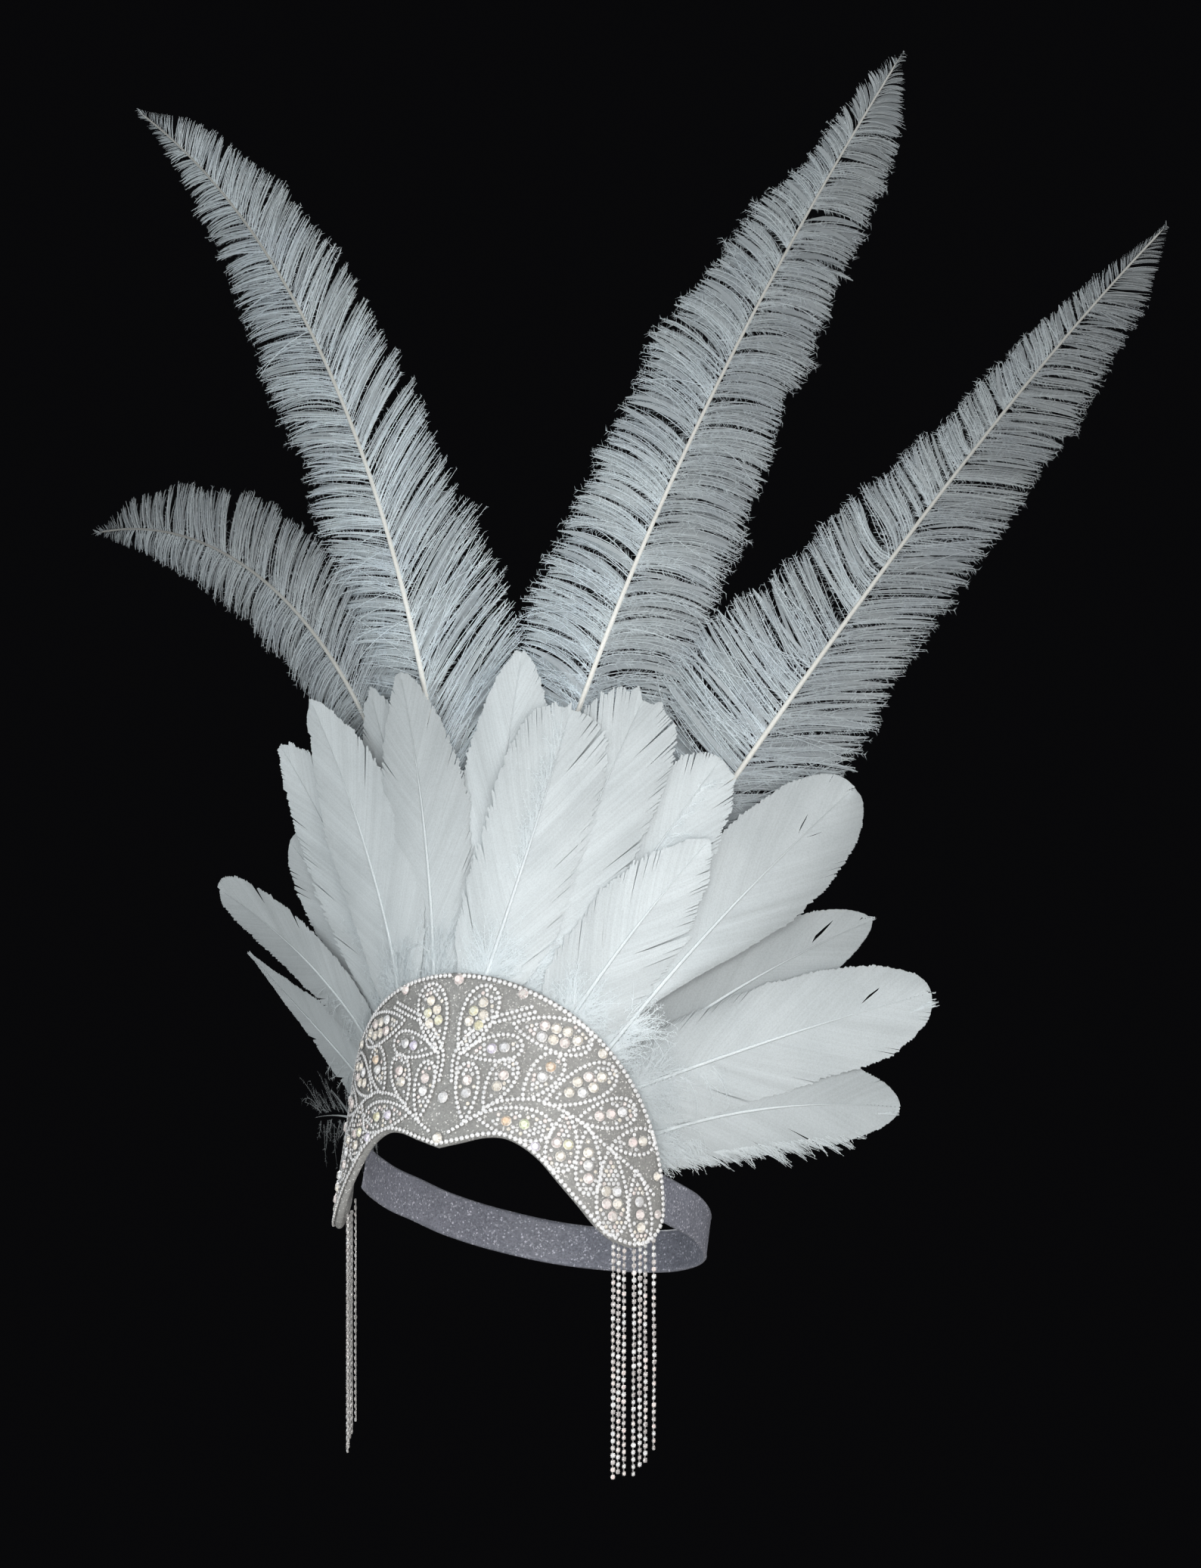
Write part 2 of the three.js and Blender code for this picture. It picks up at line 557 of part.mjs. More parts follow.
function plumeGeometry({ root, lean: start, curl, power, length, width, layer }) {
  const heading = (along) => radians(start + curl * along ** power);
  const steps = PLUME.trackSteps;
  const track = [new THREE.Vector2(...root)];
  for (let i = 0; i < steps; i++) {
    const angle = heading((i + 0.5) / steps);
    const step = new THREE.Vector2(Math.sin(angle), Math.cos(angle)).multiplyScalar(length / steps);
    track.push(track[i].clone().add(step));
  }
  const rachisAt = (along) => track[Math.round(THREE.MathUtils.clamp(along, 0, 1) * steps)];
  const behind = GAP + (layer + 0.5) * FAN.pitch;
  const points = [];
  const faces = [];
  const add = (place, thickness) => points.push(fanPlace(place, behind, thickness)) - 1;
  const rachis = (along) => add(rachisAt(along), THREE.MathUtils.lerp(PLUME.rachis, PLUME.tipRachis, along));
  const barb = (along, side, share) => {
    const out = radians(THREE.MathUtils.lerp(BARB_LEAN.base, BARB_LEAN.tip, along));
    const angle = heading(along) + side * (Math.PI / 2 - out);
    const reach = (width / 2) * plumeSpread.evaluate(along)[0];
    const distance = Math.max((share * reach) / Math.cos(out), LOCK.least);
    const outward = new THREE.Vector2(Math.sin(angle), Math.cos(angle));
    return add(rachisAt(along).clone().addScaledVector(outward, distance), PLUME.edge);
  };
  const lockEnd = (lock) => THREE.MathUtils.lerp(PLUME.bare, 1, lock / PLUME.locks);
  const shafts = [rachis(0)];
  for (let lock = 0; lock <= PLUME.locks; lock++) shafts.push(rachis(lockEnd(lock)));
  for (const side of [-1, 1]) {
    const face = (corners) => faces.push(side > 0 ? corners : corners.reverse());
    const quill = barb(0, side, 0);
    const notches = [];
    for (let lock = 0; lock < PLUME.locks; lock++) {
      notches.push(barb(lockEnd(lock), side, lock ? LOCK.notch : LOCK.firstNotch));
    }
    face([shafts[0], quill, notches[0], shafts[1]]);
    for (let lock = 0; lock < PLUME.locks; lock++) {
      const from = lockEnd(lock);
      const span = lockEnd(lock + 1) - from;
      const near = barb(from + span * LOCK.corner, side, 1);
      const far = barb(from + span * (1 - LOCK.corner), side, 1);
      const last = lock + 1 === PLUME.locks;
      face([shafts[lock + 1], notches[lock], last ? far : notches[lock + 1], shafts[lock + 2]]);
      face([notches[lock], near, far, ...(last ? [] : [notches[lock + 1]])]);
    }
  }
  return thicken(points, faces);
}

// The assembly: panel, ornament and feathers lean back together, and the fringes hang from it

const headdress = new THREE.Group();
const leaning = new THREE.Group();
leaning.rotation.x = -radians(LEAN_BACK);
headdress.add(leaning);

function addPiece(group, name, geometry, material) {
  geometry.computeVertexNormals();
  const piece = new THREE.Mesh(geometry, material);
  piece.name = name;
  group.add(piece);
}

addPiece(leaning, "front_panel", panelGeometry(), fabricSilver);
addPiece(leaning, "border_chain", borderGeometry(), crystal);
addPiece(leaning, "leaf_spray_left", sprayGeometry(1), crystal);
addPiece(leaning, "leaf_spray_right", sprayGeometry(-1), crystal);
addPiece(leaning, "heart_stone", stoneOnPanel(HEART_STONE), crystal);
addPiece(headdress, "fringe_left", fringeGeometry(1), crystal);
addPiece(headdress, "fringe_right", fringeGeometry(-1), crystal);
addPiece(leaning, "head_strap", strapGeometry(), elastic);
GOOSE.forEach((feather, i) => {
  const number = String(i + 1).padStart(2, "0");
  addPiece(leaning, "goose_feather_" + number, gooseGeometry(feather), gooseWhite);
});
for (const plume of PLUMES) addPiece(leaning, "plume_" + plume.name, plumeGeometry(plume), ostrichWhite);

export default headdress;
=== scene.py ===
# A white feather headdress: the looks of every piece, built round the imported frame.
# Sizes are millimetres and degrees unless a name says otherwise, and meshes are written in metres.
# The wearer faces -Y and the wearer's left is +X. The panel and the feathers lean back together.
import math

import bpy
import numpy as np
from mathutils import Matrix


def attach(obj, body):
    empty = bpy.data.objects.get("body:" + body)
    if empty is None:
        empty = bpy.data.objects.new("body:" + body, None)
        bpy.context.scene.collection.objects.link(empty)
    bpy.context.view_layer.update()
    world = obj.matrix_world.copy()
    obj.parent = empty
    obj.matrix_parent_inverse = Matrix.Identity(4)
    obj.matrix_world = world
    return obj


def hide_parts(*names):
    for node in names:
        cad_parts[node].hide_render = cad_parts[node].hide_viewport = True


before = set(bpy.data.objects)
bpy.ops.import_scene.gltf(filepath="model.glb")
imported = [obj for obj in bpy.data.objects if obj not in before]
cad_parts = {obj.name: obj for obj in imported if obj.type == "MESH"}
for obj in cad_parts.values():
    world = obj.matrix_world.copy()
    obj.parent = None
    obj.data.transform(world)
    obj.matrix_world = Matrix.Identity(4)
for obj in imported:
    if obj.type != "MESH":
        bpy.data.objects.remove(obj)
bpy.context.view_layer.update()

MM = 0.001
SEEDS = {
    "border_chain": 11, "leaf_spray_left": 12, "leaf_spray_right": 13, "heart_stone": 14,
    "fringe_left": 15, "fringe_right": 16, "first_plume": 31, "goose": 100,
}
LEAN_BACK = math.radians(15)

# Photograph's camera, its place in metres: level, to the wearer's left of the face, 2073 pixels to its height
CAMERA = {
    "place": (0.8112, -1.3794, 0.1620), "azimuth": 29.5, "focal_px": 5200, "frame_px": 2073, "sensor": 36,
    "clip": (0.05, 50),
}

# Panel, drawn flat as across (along the brow) and up, then bent round the head
PANEL = {
    "radius": 78, "wall": 3, "columns": 170, "rows": 24, "end_flat": 0.15, "rim_steps": 6, "rim_share": 0.3,
}
DOME = {"radius": 100, "drop": 30}
LOBE = {"radius": 15, "turn": math.radians(79)}
LOBE_REACH = DOME["radius"] - LOBE["radius"]
LOBE_ACROSS = LOBE_REACH * math.sin(LOBE["turn"])
LOBE_UP = LOBE_REACH * math.cos(LOBE["turn"]) - DOME["drop"]
DOME_END = DOME["radius"] * math.sin(LOBE["turn"])
PANEL_END = LOBE_ACROSS + LOBE["radius"] - PANEL["end_flat"]
BROW_EDGE = {
    "across": [0, 10, 20, 27, 35, 42, 50, 60, 68, 75, LOBE_ACROSS],
    "up": [0, 2.6, 5.4, 5.8, 3.2, -1, -8, -16.5, -23.3, -27.2, LOBE_UP - LOBE["radius"]],
}

# Chains of small stones in cups: stone radius, distance between stones and height of the cups over the panel
BORDER = {"radius": 0.98, "pitch": 2.2, "inset": 1.4, "lift": 0.45}
LEAF_CHAIN = {"radius": 0.88, "pitch": 2.02, "lift": 0.45}
STEM_CHAIN = {"radius": 0.88, "pitch": 2.04, "lift": 0.4}
# Fringe: where its strands hang, their length and how they sway, twist and tilt
FRINGE = {
    "strands": [77.5, 80.1, 82.8, 87.8, 90.6, 93.5, 97.3], "drop": 99, "shorten": 1.1, "top": 5.2,
    "radius": 0.96, "pitch": 2.8, "gap": 0.4, "sway": 0.25, "twist": 0.25, "tilt": (0.12, 0.1),
}

# Leaves of one half of the ornament: base, tip, width, the big stones inside as rows from tip to base, the
# share of the leaf where the first row stands, the distance between rows, and the share of small stones kept
LEAF_COLUMNS = ("base", "tip", "width", "stones", "tints", "first", "step", "fill")
LEAVES = [
    ((5, 37.5), (14.2, 64.8), 16.5, (1, 2, 2), "cream yellow cream cream yellow", 0.76, 4.5, 0.95),
    ((25.5, 50.8), (56.5, 46.6), 16, (1, 2, 2, 2), "cream cream pink cream cream pink clear", 0.82, 4.6, 1.0),
    ((6.5, 38), (30, 42.6), 12, (1, 1), "clear lavender", 0.7, 5, 0.8),
    ((33, 21.5), (45, 40.5), 13, (1, 1), "orange clear", 0.74, 5, 0.9),
    ((18, 17), (27, 36.5), 12, (1, 1), "pink cream", 0.68, 5, 0.8),
    ((10.5, 11), (9.2, 34), 11, (1, 1), "pink clear", 0.7, 5, 0.7),
    ((15.5, 13.4), (45.5, 11.2), 14.5, (1, 1), "green orange", 0.64, 7.2, 0.9),
    ((41.5, 21), (67.5, 38), 15.5, (1, 2, 2, 1), "cream pink cream cream clear cream", 0.8, 4.8, 0.95),
    ((55, 16.5), (78, 24.5), 13.5, (1, 1, 1), "clear pink pink", 0.76, 4.8, 0.95),
    ((50.5, 18.5), (50, -4.5), 14.5, (1, 2), "cream yellow pink", 0.74, 5, 0.95),
    ((59.5, 14), (63, -11.5), 12, (1, 1, 1), "pink clear cream", 0.76, 5, 0.95),
    ((70, 9), (88, 14.5), 12, (1, 1), "cream pink", 0.72, 4.5, 0.95),
    ((69.5, 7.5), (75.2, -25.5), 15.5, (1, 2, 2), "pink cream pink clear cream", 0.78, 4.8, 1.0),
    ((82, 1), (88.6, -26.5), 12.5, (1, 1, 1), "cream pink clear", 0.78, 5, 0.95),
]
STEMS = [
    [(5, 25.5), (4.7, 36), (9.8, 44), (15.7, 49.6), (24, 52.8), (33, 56.2)],
    [(2.8, 26.5), (2.5, 37), (7.8, 45.6), (14.2, 51.4), (23, 54.9), (31.5, 58.2)],
    [(4.6, 6.4), (10.8, 10.4), (16.2, 14.5), (22.2, 19.2), (31.4, 21.6), (41.4, 21.6), (55, 16.4),
     (67, 8.6), (81.4, 0.6), (91, -6.6)],
]
LEAF_SWELL = {"power": 0.6, "scale": 1.22, "steps": 60}
LEAF_STONE = {"radius": 2.1, "beside": 2.3, "lift": 0.45}
LEAF_FILL = {"radius": 0.82, "pitch": 1.92, "inset": 1.75, "lift": 0.55, "sizes": (0.9, 1.08)}
# Leaves, by number, whose stones have other tints on the wearer's right
RIGHT_TINTS = {7: "yellow lavender"}

# Single stones beside the border, those off the middle on both halves: across, up, radius and tint
EDGE_STONES = [
    (0, 67, 2.3, "pink"),
    (0, 3.6, 2.3, "cream"),
    (27.5, 63, 2, "pink"),
    (61.5, 43.8, 2, "cream"),
    (40, 3.9, 2, "lavender"),
    (91.6, 0.6, 1.8, "cream"),
    (94.4, -13.9, 1.8, "pink"),
]
HEART_STONE = (0, 19.9, 2.4, "clear")
EDGE_LIFT = 0.4

# Tints of the stones: the stone's own colour as two colours that its facets vary between, the spread between
# them painted reflection
TINTS = {
    "clear": ((0.90, 0.91, 0.95), (1.0, 1.0, 1.0)),
    "cream": ((1.0, 0.91, 0.78), (1.0, 0.98, 0.94)),
    "yellow": ((1.0, 0.93, 0.62), (0.98, 1.0, 0.86)),
    "pink": ((1.0, 0.84, 0.83), (1.0, 0.96, 0.93)),
    "green": ((0.80, 0.96, 0.62), (0.98, 1.0, 0.78)),
    "lavender": ((0.84, 0.78, 1.0), (0.97, 0.94, 1.0)),
    "orange": ((1.0, 0.70, 0.48), (1.0, 0.90, 0.78)),
    "smoke": ((0.46, 0.42, 0.42), (0.86, 0.82, 0.82)),
}
FILL_TINTS = ["clear", "clear", "clear", "clear", "cream", "pink"]
FRINGE_TINTS = ["clear", "clear", "pink", "smoke", "smoke"]

# Strap, from the temple to the middle of the back, in the leaning frame: side, back and up of its middle line
STRAP = {
    "width": 18, "thickness": 1.5, "steps": 170, "across": 20,
    "binding": 1.3, "raised": 0.18, "sunk": 0.2, "binding_tone": 1.35,
}
STRAP_ROUTE = [
    (59.5, -34.6, -3.1), (64.6, -19.6, -4.2), (67, -0.4, -6.3), (66, 17.6, -7.7),
    (61.5, 36.9, -10.3), (50, 57.2, -12.6), (28, 72.3, -14.8), (0, 77.6, -15.4),
]

# Fan that carries the feathers: it follows the panel's inside to the rim, then opens out and flattens
FAN = {
    "radius": 74.6, "rim": 95.5, "pitch": 2.2, "root": 80, "opening": 30, "forward": 0.1, "forward_start": 90,
}
FAN_TURN_BACK = {"top": 0.15, "side": 0.4, "from": math.radians(45), "to": math.radians(75)}
GAP = 0.4

# Goose feathers. Turns are positive to the wearer's left; bow bends the shaft; blunt shapes the tip; a
# positive roll lifts the side to the wearer's left; a positive curl brings the tip forward; split is how
# loose the vane is; tone and foot are painted shade: how bright the feather is painted near its tip and at
# its foot.
GOOSE_COLUMNS = (
    "root", "turn", "reach", "width", "bow", "layer", "blunt", "roll", "curl", "split", "tone", "foot",
)
GOOSE = [
    (-5, 2, 231, 39, 0, 2, 1.8, 3, 3, 0.5, 0.92, 1.0),
    (3, 9, 210, 42, 0, 0, 3.4, -2, 2, 0.5, 0.87, 1.0),
    (13, 16, 221, 44, 2, 1, 3.6, 2, 2, 0.5, 0.85, 1.0),
    (23, 26, 214, 41, 3, 2, 2.2, 2, 2, 0.5, 0.92, 1.0),
    (28, 30, 186, 38, 3, 0, 1.4, -2, 2, 0.5, 1.0, 1.0),
    (41, 38.5, 238, 45, 4.5, 1, 2.4, 4, 4, 0.1, 0.71, 1.0),
    (46, 50, 212, 34, 6, 3, 1.7, 2, 0, 0.1, 0.60, 0.55),
    (47, 59, 221, 40, 1, 2, 2.2, -3, 3, 0.1, 0.86, 0.84),
    (62, 69.5, 199, 34, 7, 3, 1.8, 4, 0, 0.1, 0.72, 0.8),
    (-11, -12.5, 230, 42, -2, 1, 1.5, -4, 2, 0.4, 0.71, 0.92),
    (-23, -25, 240, 45, -3, 0, 1.4, -3, 2, 0.3, 0.80, 0.9),
    (-38, -32.5, 239, 48, -5, 2, 1.4, -3, 3, 0.5, 0.86, 0.9),
    (-46, -51, 235, 27, -3, 1, 2.6, 3, 6, 0.4, 0.60, 0.75),
    (-61, -57.5, 225, 34, 2.5, 2.2, 1.0, -2, 0, 0.3, 0.62, 0.7),
    (-65, -72, 176, 22, -6, 1, 1.6, 2, 0, 1.0, 0.22, 0.5),
    (-16, -18.5, 231, 46, -2, 3, 1.5, 2, 0, 0.4, 0.74, 0.9),
    (-41, -40, 212, 44, -5, 3, 2.0, -2, 0, 0.3, 0.72, 0.8),
    (42, 43.5, 184, 36, 5, 4, 2.0, 2, 0, 0.2, 0.6, 0.7),
    (7, 6, 203, 40, 0, 4, 2.0, 0, 0, 0.2, 0.92, 1.0),
    (65, 64, 186, 32, 6, 4, 2.0, -2, 0, 0.4, 0.74, 0.85),
]
# Shares of a feather's length: where its vane opens, where it is full and where its tip begins to close.
# The edge's painted shade is how much darker its edge is painted, soft the share of the shaft up to which the
# edge is soft, and thin keeps one barb in so many.
VANE_SHAPE = {
    "open": -0.06, "full": 0.34, "close": 0.6, "open_power": 0.75, "painted_edge_shade": 0.06, "soft": 0, "thin": 1,
}
# Sides of a feather, by its number and side, that are shaped otherwise, some with more painted shade at the
# edge
ODD_SIDES = {
    (6, 1): {"open": 0.2, "full": 0.82, "painted_edge_shade": 0.3},
    (8, 1): {"close": 0.74},
    (8, -1): {"close": 0.5, "painted_edge_shade": 0.16, "soft": 0.62},
    (9, 1): {"soft": 0.9},
    (14, 1): {"close": 0.45},
    (14, -1): {"close": 0.3},
    (15, 1): {"soft": 2, "thin": 40},
    (15, -1): {"soft": 2, "thin": 40},
}
VANE = {
    "pitch": 0.62, "steps": 7, "camber": 0.8, "quill": 1.4, "root_angle": 37, "tip_angle": 23, "tile": 0.1,
    "full": 1.03, "sweep": 1.12, "last_root": 0.985, "fray": 5, "tones": (0.2, 1.05),
    # Shares of the shaft over which the painted shade changes from the foot's to the tip's
    "painted_shade_from": (0.2, 0.85), "roll_from": (0.1, 0.5),
}
# How uneven the barbs of a vane are, over a run of them and one by one
UNEVEN = {"reach": (0.02, 0.012), "lift": (0.25, 0.04), "tone": (0.05, 0.03)}
# Half widths of crisp and of soft barbs at shares of their length, as shares of the distance between barbs
CRISP_BARB = ([0, 0.7, 0.9, 1], [0.9, 0.9, 0.88, 0.82])
SOFT_BARB = ([0, 0.5, 0.8, 1], [0.9, 0.86, 0.66, 0.16])
SHAFT = {
    "steps": 48, "end": 0.985, "radii": (1.15, 0.3), "flat": 0.5, "lift": 0.35, "tone": 1.12, "point": 0.02,
}
# Places where the barbs of a goose feather have come apart: feather, side (1 is to the wearer's left of the
# shaft), share along the shaft, width of the gap, and the shares of the barbs it runs between. A gap that
# ends at 1 is open.
SPLIT_COLUMNS = ("feather", "side", "along", "gap", "from", "to")
SPLITS = [
    (2, -1, 0.55, 2.6, 0.6, 1),
    (2, -1, 0.68, 3.0, 0.5, 1),
    (2, -1, 0.80, 3.2, 0.5, 1),
    (3, 1, 0.93, 2.4, 0.6, 1),
    (3, -1, 0.95, 2.0, 0.6, 1),
    (6, -1, 0.97, 3.4, 0.08, 0.5),
    (6, 1, 0.97, 3.0, 0.08, 0.45),
    (7, -1, 0.93, 5.6, 0.05, 0.95),
    (7, -1, 0.985, 2.8, 0.3, 0.8),
    (8, -1, 0.93, 4.0, 0.2, 0.7),
    (9, -1, 0.78, 3.4, 0.3, 0.8),
    (11, -1, 0.93, 2.4, 0.5, 1),
    (12, -1, 0.90, 2.8, 0.4, 1),
    (13, 1, 0.70, 4.6, 0.4, 1),
    (13, 1, 0.86, 4.2, 0.4, 1),
    (14, -1, 0.50, 4.0, 0.5, 1),
    (14, -1, 0.66, 3.6, 0.5, 1),
    (15, -1, 0.60, 4.0, 0.4, 1),
]
# More such gaps on loose feathers: how many on the loosest, where, how wide, how deep and how far they push
LOOSE = {"count": 5, "along": (0.3, 0.97), "gaps": (0.5, 1.8), "least": 0.3, "depths": (0.15, 0.5), "push": 4}

# Down at the foot of every goose feather, and where more of it hangs loose: shares of the shaft it grows
# from, how far out on the vane it starts, number of barbs and how many of them meet in a point, length, range
# of angles from the shaft, and how far it stands in front
DOWN_COLUMNS = ("feather", "side", "from", "to", "start", "count", "bunch", "length", "angles", "lift")
FOOT_DOWN = (0, 0, 0.02, 0.2, 0, 120, 1, 19, (12, 60), 1.0)
DOWN = [
    (2, -1, 0.45, 0.88, 0, 60, 1, 14, (8, 36), 1.2),
    (4, 1, 0.5, 0.9, 0, 40, 1, 12, (10, 40), 0.6),
    (8, 1, 0.05, 0.4, 0, 60, 1, 20, (40, 80), 0),
    (9, 1, 0.0, 0.3, 0.3, 160, 5, 16, (35, 75), 0.5),
    (9, 1, 0.1, 0.82, 0.72, 340, 7, 14, (16, 50), 0),
    (8, 1, 0.945, 0.955, 0.4, 34, 34, 9, (0, 6), 0.3),
    (9, 1, 0.945, 0.955, 0.3, 26, 26, 7, (0, 6), 0.3),
    (20, 1, 0.1, 0.6, 0, 80, 1, 20, (40, 80), 0),
    (12, -1, 0.1, 0.45, 0, 60, 1, 18, (35, 80), 0),
    (13, -1, 0.15, 0.5, 0, 70, 1, 18, (35, 85), 0),
    (14, -1, 0.05, 0.5, 0, 70, 1, 20, (40, 90), 0),
    (15, -1, 0.3, 0.95, 0, 30, 1, 20, (20, 75), 0),
    (15, 1, 0.3, 0.95, 0, 34, 1, 20, (20, 70), 0),
]
# Spread of the barbs that meet in a point, tone (painted light that brightens the down against the shade its
# own hairs cast), points along a barb, hairs on it and their width, how lengths and lifts vary, and bend,
# half width and hair length of loose and of pointed down
DOWN_SHAPE = {
    "spread": 2.6, "tone": 1.18, "steps": 6, "hairs": 16, "hair_width": 0.24,
    "lengths": (0.45, 1.0), "shorter": 0.35, "lift": 0.8, "droop": -6, "tip_half": 0.04,
    "bend": (30, 4), "half": (0.2, 0.13), "hair": (2.6, 0.5),
}

# Ostrich plumes. The first row of each: the shaft starts at a root, sets off at a lean and curls more and
# more along its length. Wool is how far the barbs tangle and fill; shade is painted light and shade, how
# bright the barbs are painted at the foot; and the tip's painted shade is how much of that goes by the tip.
# Then a row
# for each side: how far the barbs slant towards the tip at the foot, middle and tip of the plume, how much
# each bends back on its way out, the painted shade of the side as how bright it is painted, gaps as a share
# of the length and a width, and shares along the shaft with how far the barbs reach from it there.
PLUME_COLUMNS = ("root", "lean", "curl", "power", "length", "layer", "wool", "shade", "painted_tip_shade")
SIDE_COLUMNS = ("slant", "bend", "tone", "gaps", "along", "reach")
PLUMES = {
    "plume_right_low": {
        "shaft": ((-34, 46), -10, -81, 1.3, 359, 6, 0.55, 0.74, 0.35),
        "right": ((-10, 5, 18), 9, 1.0, [],
                  [0.1, 0.3, 0.61, 0.79, 0.86, 0.91, 0.97, 1], [12, 34, 24, 18, 14, 10, 6, 1]),
        "left": ((30, 24, 20), 5, 1.0, [],
                 [0.1, 0.3, 0.65, 0.74, 0.79, 0.85, 0.9, 0.96, 1], [12, 36, 27, 27, 24, 21, 16, 10, 1]),
    },
    "plume_right": {
        "shaft": ((-8, 50), -13.5, -42, 1.8, 482, 5, 0.3, 1.08, 0.3),
        "right": ((22, 31, 42), 7, 1.0, [(0.63, 3.5)],
                  [0.1, 0.3, 0.48, 0.57, 0.65, 0.72, 0.8, 0.85, 0.9, 0.95, 1],
                  [14, 44, 39, 37, 38, 31, 24, 18, 12, 6, 1]),
        "left": ((44, 40, 30), 3, 1.0, [(0.46, 3), (0.36, 4)],
                 [0.1, 0.32, 0.36, 0.44, 0.48, 0.57, 0.62, 0.71, 0.82, 0.91, 0.96, 1],
                 [16, 45, 41, 36, 32, 30, 27, 26, 21, 14, 8, 1]),
    },
    "plume_left": {
        "shaft": ((6, 50), 2.5, 25.5, 0.6, 421, 6, 1.0, 1.14, 0.48),
        "right": ((10, 8, 30), 17, 1.0, [(0.69, 3.5), (0.96, 2)],
                  [0.1, 0.3, 0.42, 0.5, 0.61, 0.66, 0.69, 0.75, 0.82, 0.87, 0.97, 1],
                  [14, 44, 44, 37, 35, 38, 35, 27, 21, 12, 8, 1]),
        "left": ((16, 10, 14), 20, 0.7, [(0.3, 4), (0.36, 3)],
                 [0.1, 0.3, 0.39, 0.47, 0.55, 0.66, 0.77, 0.84, 0.92, 0.97, 1],
                 [14, 38, 38, 37, 33, 29, 25, 21, 18, 9, 1]),
    },
    "plume_left_low": {
        "shaft": ((36, 45), 29.5, 10, 3, 393, 5, 0.6, 1.0, 0.56),
        "right": ((4, 24, 36), -2, 1.0, [(0.62, 6), (0.5, 4), (0.4, 3), (0.74, 3), (0.83, 3)],
                  [0.1, 0.3, 0.43, 0.49, 0.54, 0.62, 0.65, 0.72, 0.83, 0.9, 0.97, 1],
                  [14, 50, 50, 40, 32, 29, 23, 17, 12, 8, 3, 1]),
        "left": ((30, 37, 24), 7, 0.7, [(0.66, 3.5), (0.84, 3)],
                 [0.1, 0.3, 0.43, 0.5, 0.65, 0.79, 0.88, 0.93, 0.97, 1],
                 [14, 36, 35, 30, 27, 25, 18, 15, 9, 1]),
    },
}
# Painted shade on the plume: the rachis is painted greyer towards its tip, and each barb darker at its root
# beside the rachis
PLUME = {
    "bare": 0.13, "track": 600, "rachis": (1.5, 0.4), "rachis_steps": 90, "painted_rachis_shade": (0.95, 0.42),
    "slant_at": [0.15, 0.55, 1], "tip_slant": 26, "steepest": 62, "arch": 7, "tip_thin": 0.7,
    "hairless": 0.93, "stray": 0.03, "foot_stray": 0.1, "stray_turn": (-30, 22), "stray_lift": 2.5,
    "foot_wool": 0.5, "ragged": (0.03, 0.05), "tones": (0.82, 1.0), "painted_root_shade": 0.94,
}
# Clumps that barbs cling together in: range of widths, share of wide ones and how much wider, range of
# strengths, how far the middle of a tuft stands out, and how clumps differ in reach, lift and tone
CLUMP = {
    "widths": (1.2, 4.6), "wide_share": 0.1, "wider": 1.7, "strengths": (0.0, 0.55), "tuft": 0.07,
    "reach": 0.03, "lift": 1.4, "closing": (0, 0.9), "tone": 0.06,
}
# How far barbs spread in a plume with no wool, and how much more in one that is all wool
SPREAD = {
    "clump_slant": (1.5, 2.5), "slant": (0.8, 2), "bend_wave": (1.5, 2), "bend": (0.6, 3), "lift": (0.7, 0.8),
}
# Coats of barbs: distance between them, points along each, share of the full reach, depth behind the shaft
# and tone, painted darker for the deeper coats as painted shade. The film is flat and soft, widened by wool;
# the strands are round, with hairs.
FILM = {"pitch": 1.5, "steps": 7, "reach": 0.96, "depth": 0.9, "tone": 0.56, "half": (0.36, 1.0)}
UNDERCOAT = {
    "pitch": 2.2, "steps": 6, "reach": 0.8, "depth": 2, "tone": 0.9, "radii": (0.16, 0.2, 0.08), "hairs": 28,
}
COAT = {
    "pitch": 0.76, "steps": 7, "reach": 1.0, "depth": 0, "tone": 1.08, "radii": (0.17, 0.21, 0.08),
    "hairs": 24,
}
# Widths of film barbs at shares of their length, and how much of that is left where they stand apart
FILM_SHAPE = ([0, 0.15, 0.5, 0.85, 1], [0.5, 0.95, 1, 0.8, 0.15])
OPEN_FILM = ([0, 0.15, 0.35], [0.15, 0.45, 1])
# Hairs of plumes, and how the hairs of plumes and down crowd, lean, rise and differ in length
HAIR = {
    "length": 2.1, "woolly": 1.5, "width": 0.2,
    "crowd": 1.25, "leans": (0.5, 1.2), "rise": 0.28, "lengths": (0.6, 1.15), "tip_shorter": 0.45,
}


# Small helpers

def lerp(low, high, share):
    return low + (high - low) * share


def smoothstep(value, low, high):
    share = np.clip((value - low) / (high - low), 0, 1)
    return share * share * (3 - 2 * share)


def unit(vectors):
    return vectors / np.maximum(np.linalg.norm(vectors, axis=-1, keepdims=True), 1e-9)


def stack(*columns):
    return np.stack(np.broadcast_arrays(*columns), axis=-1)


def wander(rng, count, reach):
    """Smooth random values, near -1 to 1, that change over about reach steps."""
    knots = rng.normal(0, 0.6, max(4, int(count / reach) + 3))
    return np.interp(np.linspace(0, len(knots) - 1, count), np.arange(len(knots)), knots)


def smooth_curve(places, count):
    """Points at even distances on a smooth curve through the places."""
    places = np.asarray(places, float)
    padded = np.concatenate([[2 * places[0] - places[1]], places, [2 * places[-1] - places[-2]]])
    pieces = []
    share = np.linspace(0, 1, 24, endpoint=False)[:, None]
    for before, start, end, after in zip(padded, padded[1:], padded[2:], padded[3:]):
        bend = 2 * before - 5 * start + 4 * end - after
        turn = 3 * (start - end) + after - before
        pieces.append(0.5 * (2 * start + (end - before) * share + bend * share**2 + turn * share**3))
    return even(np.concatenate([*pieces, places[-1:]]), count)


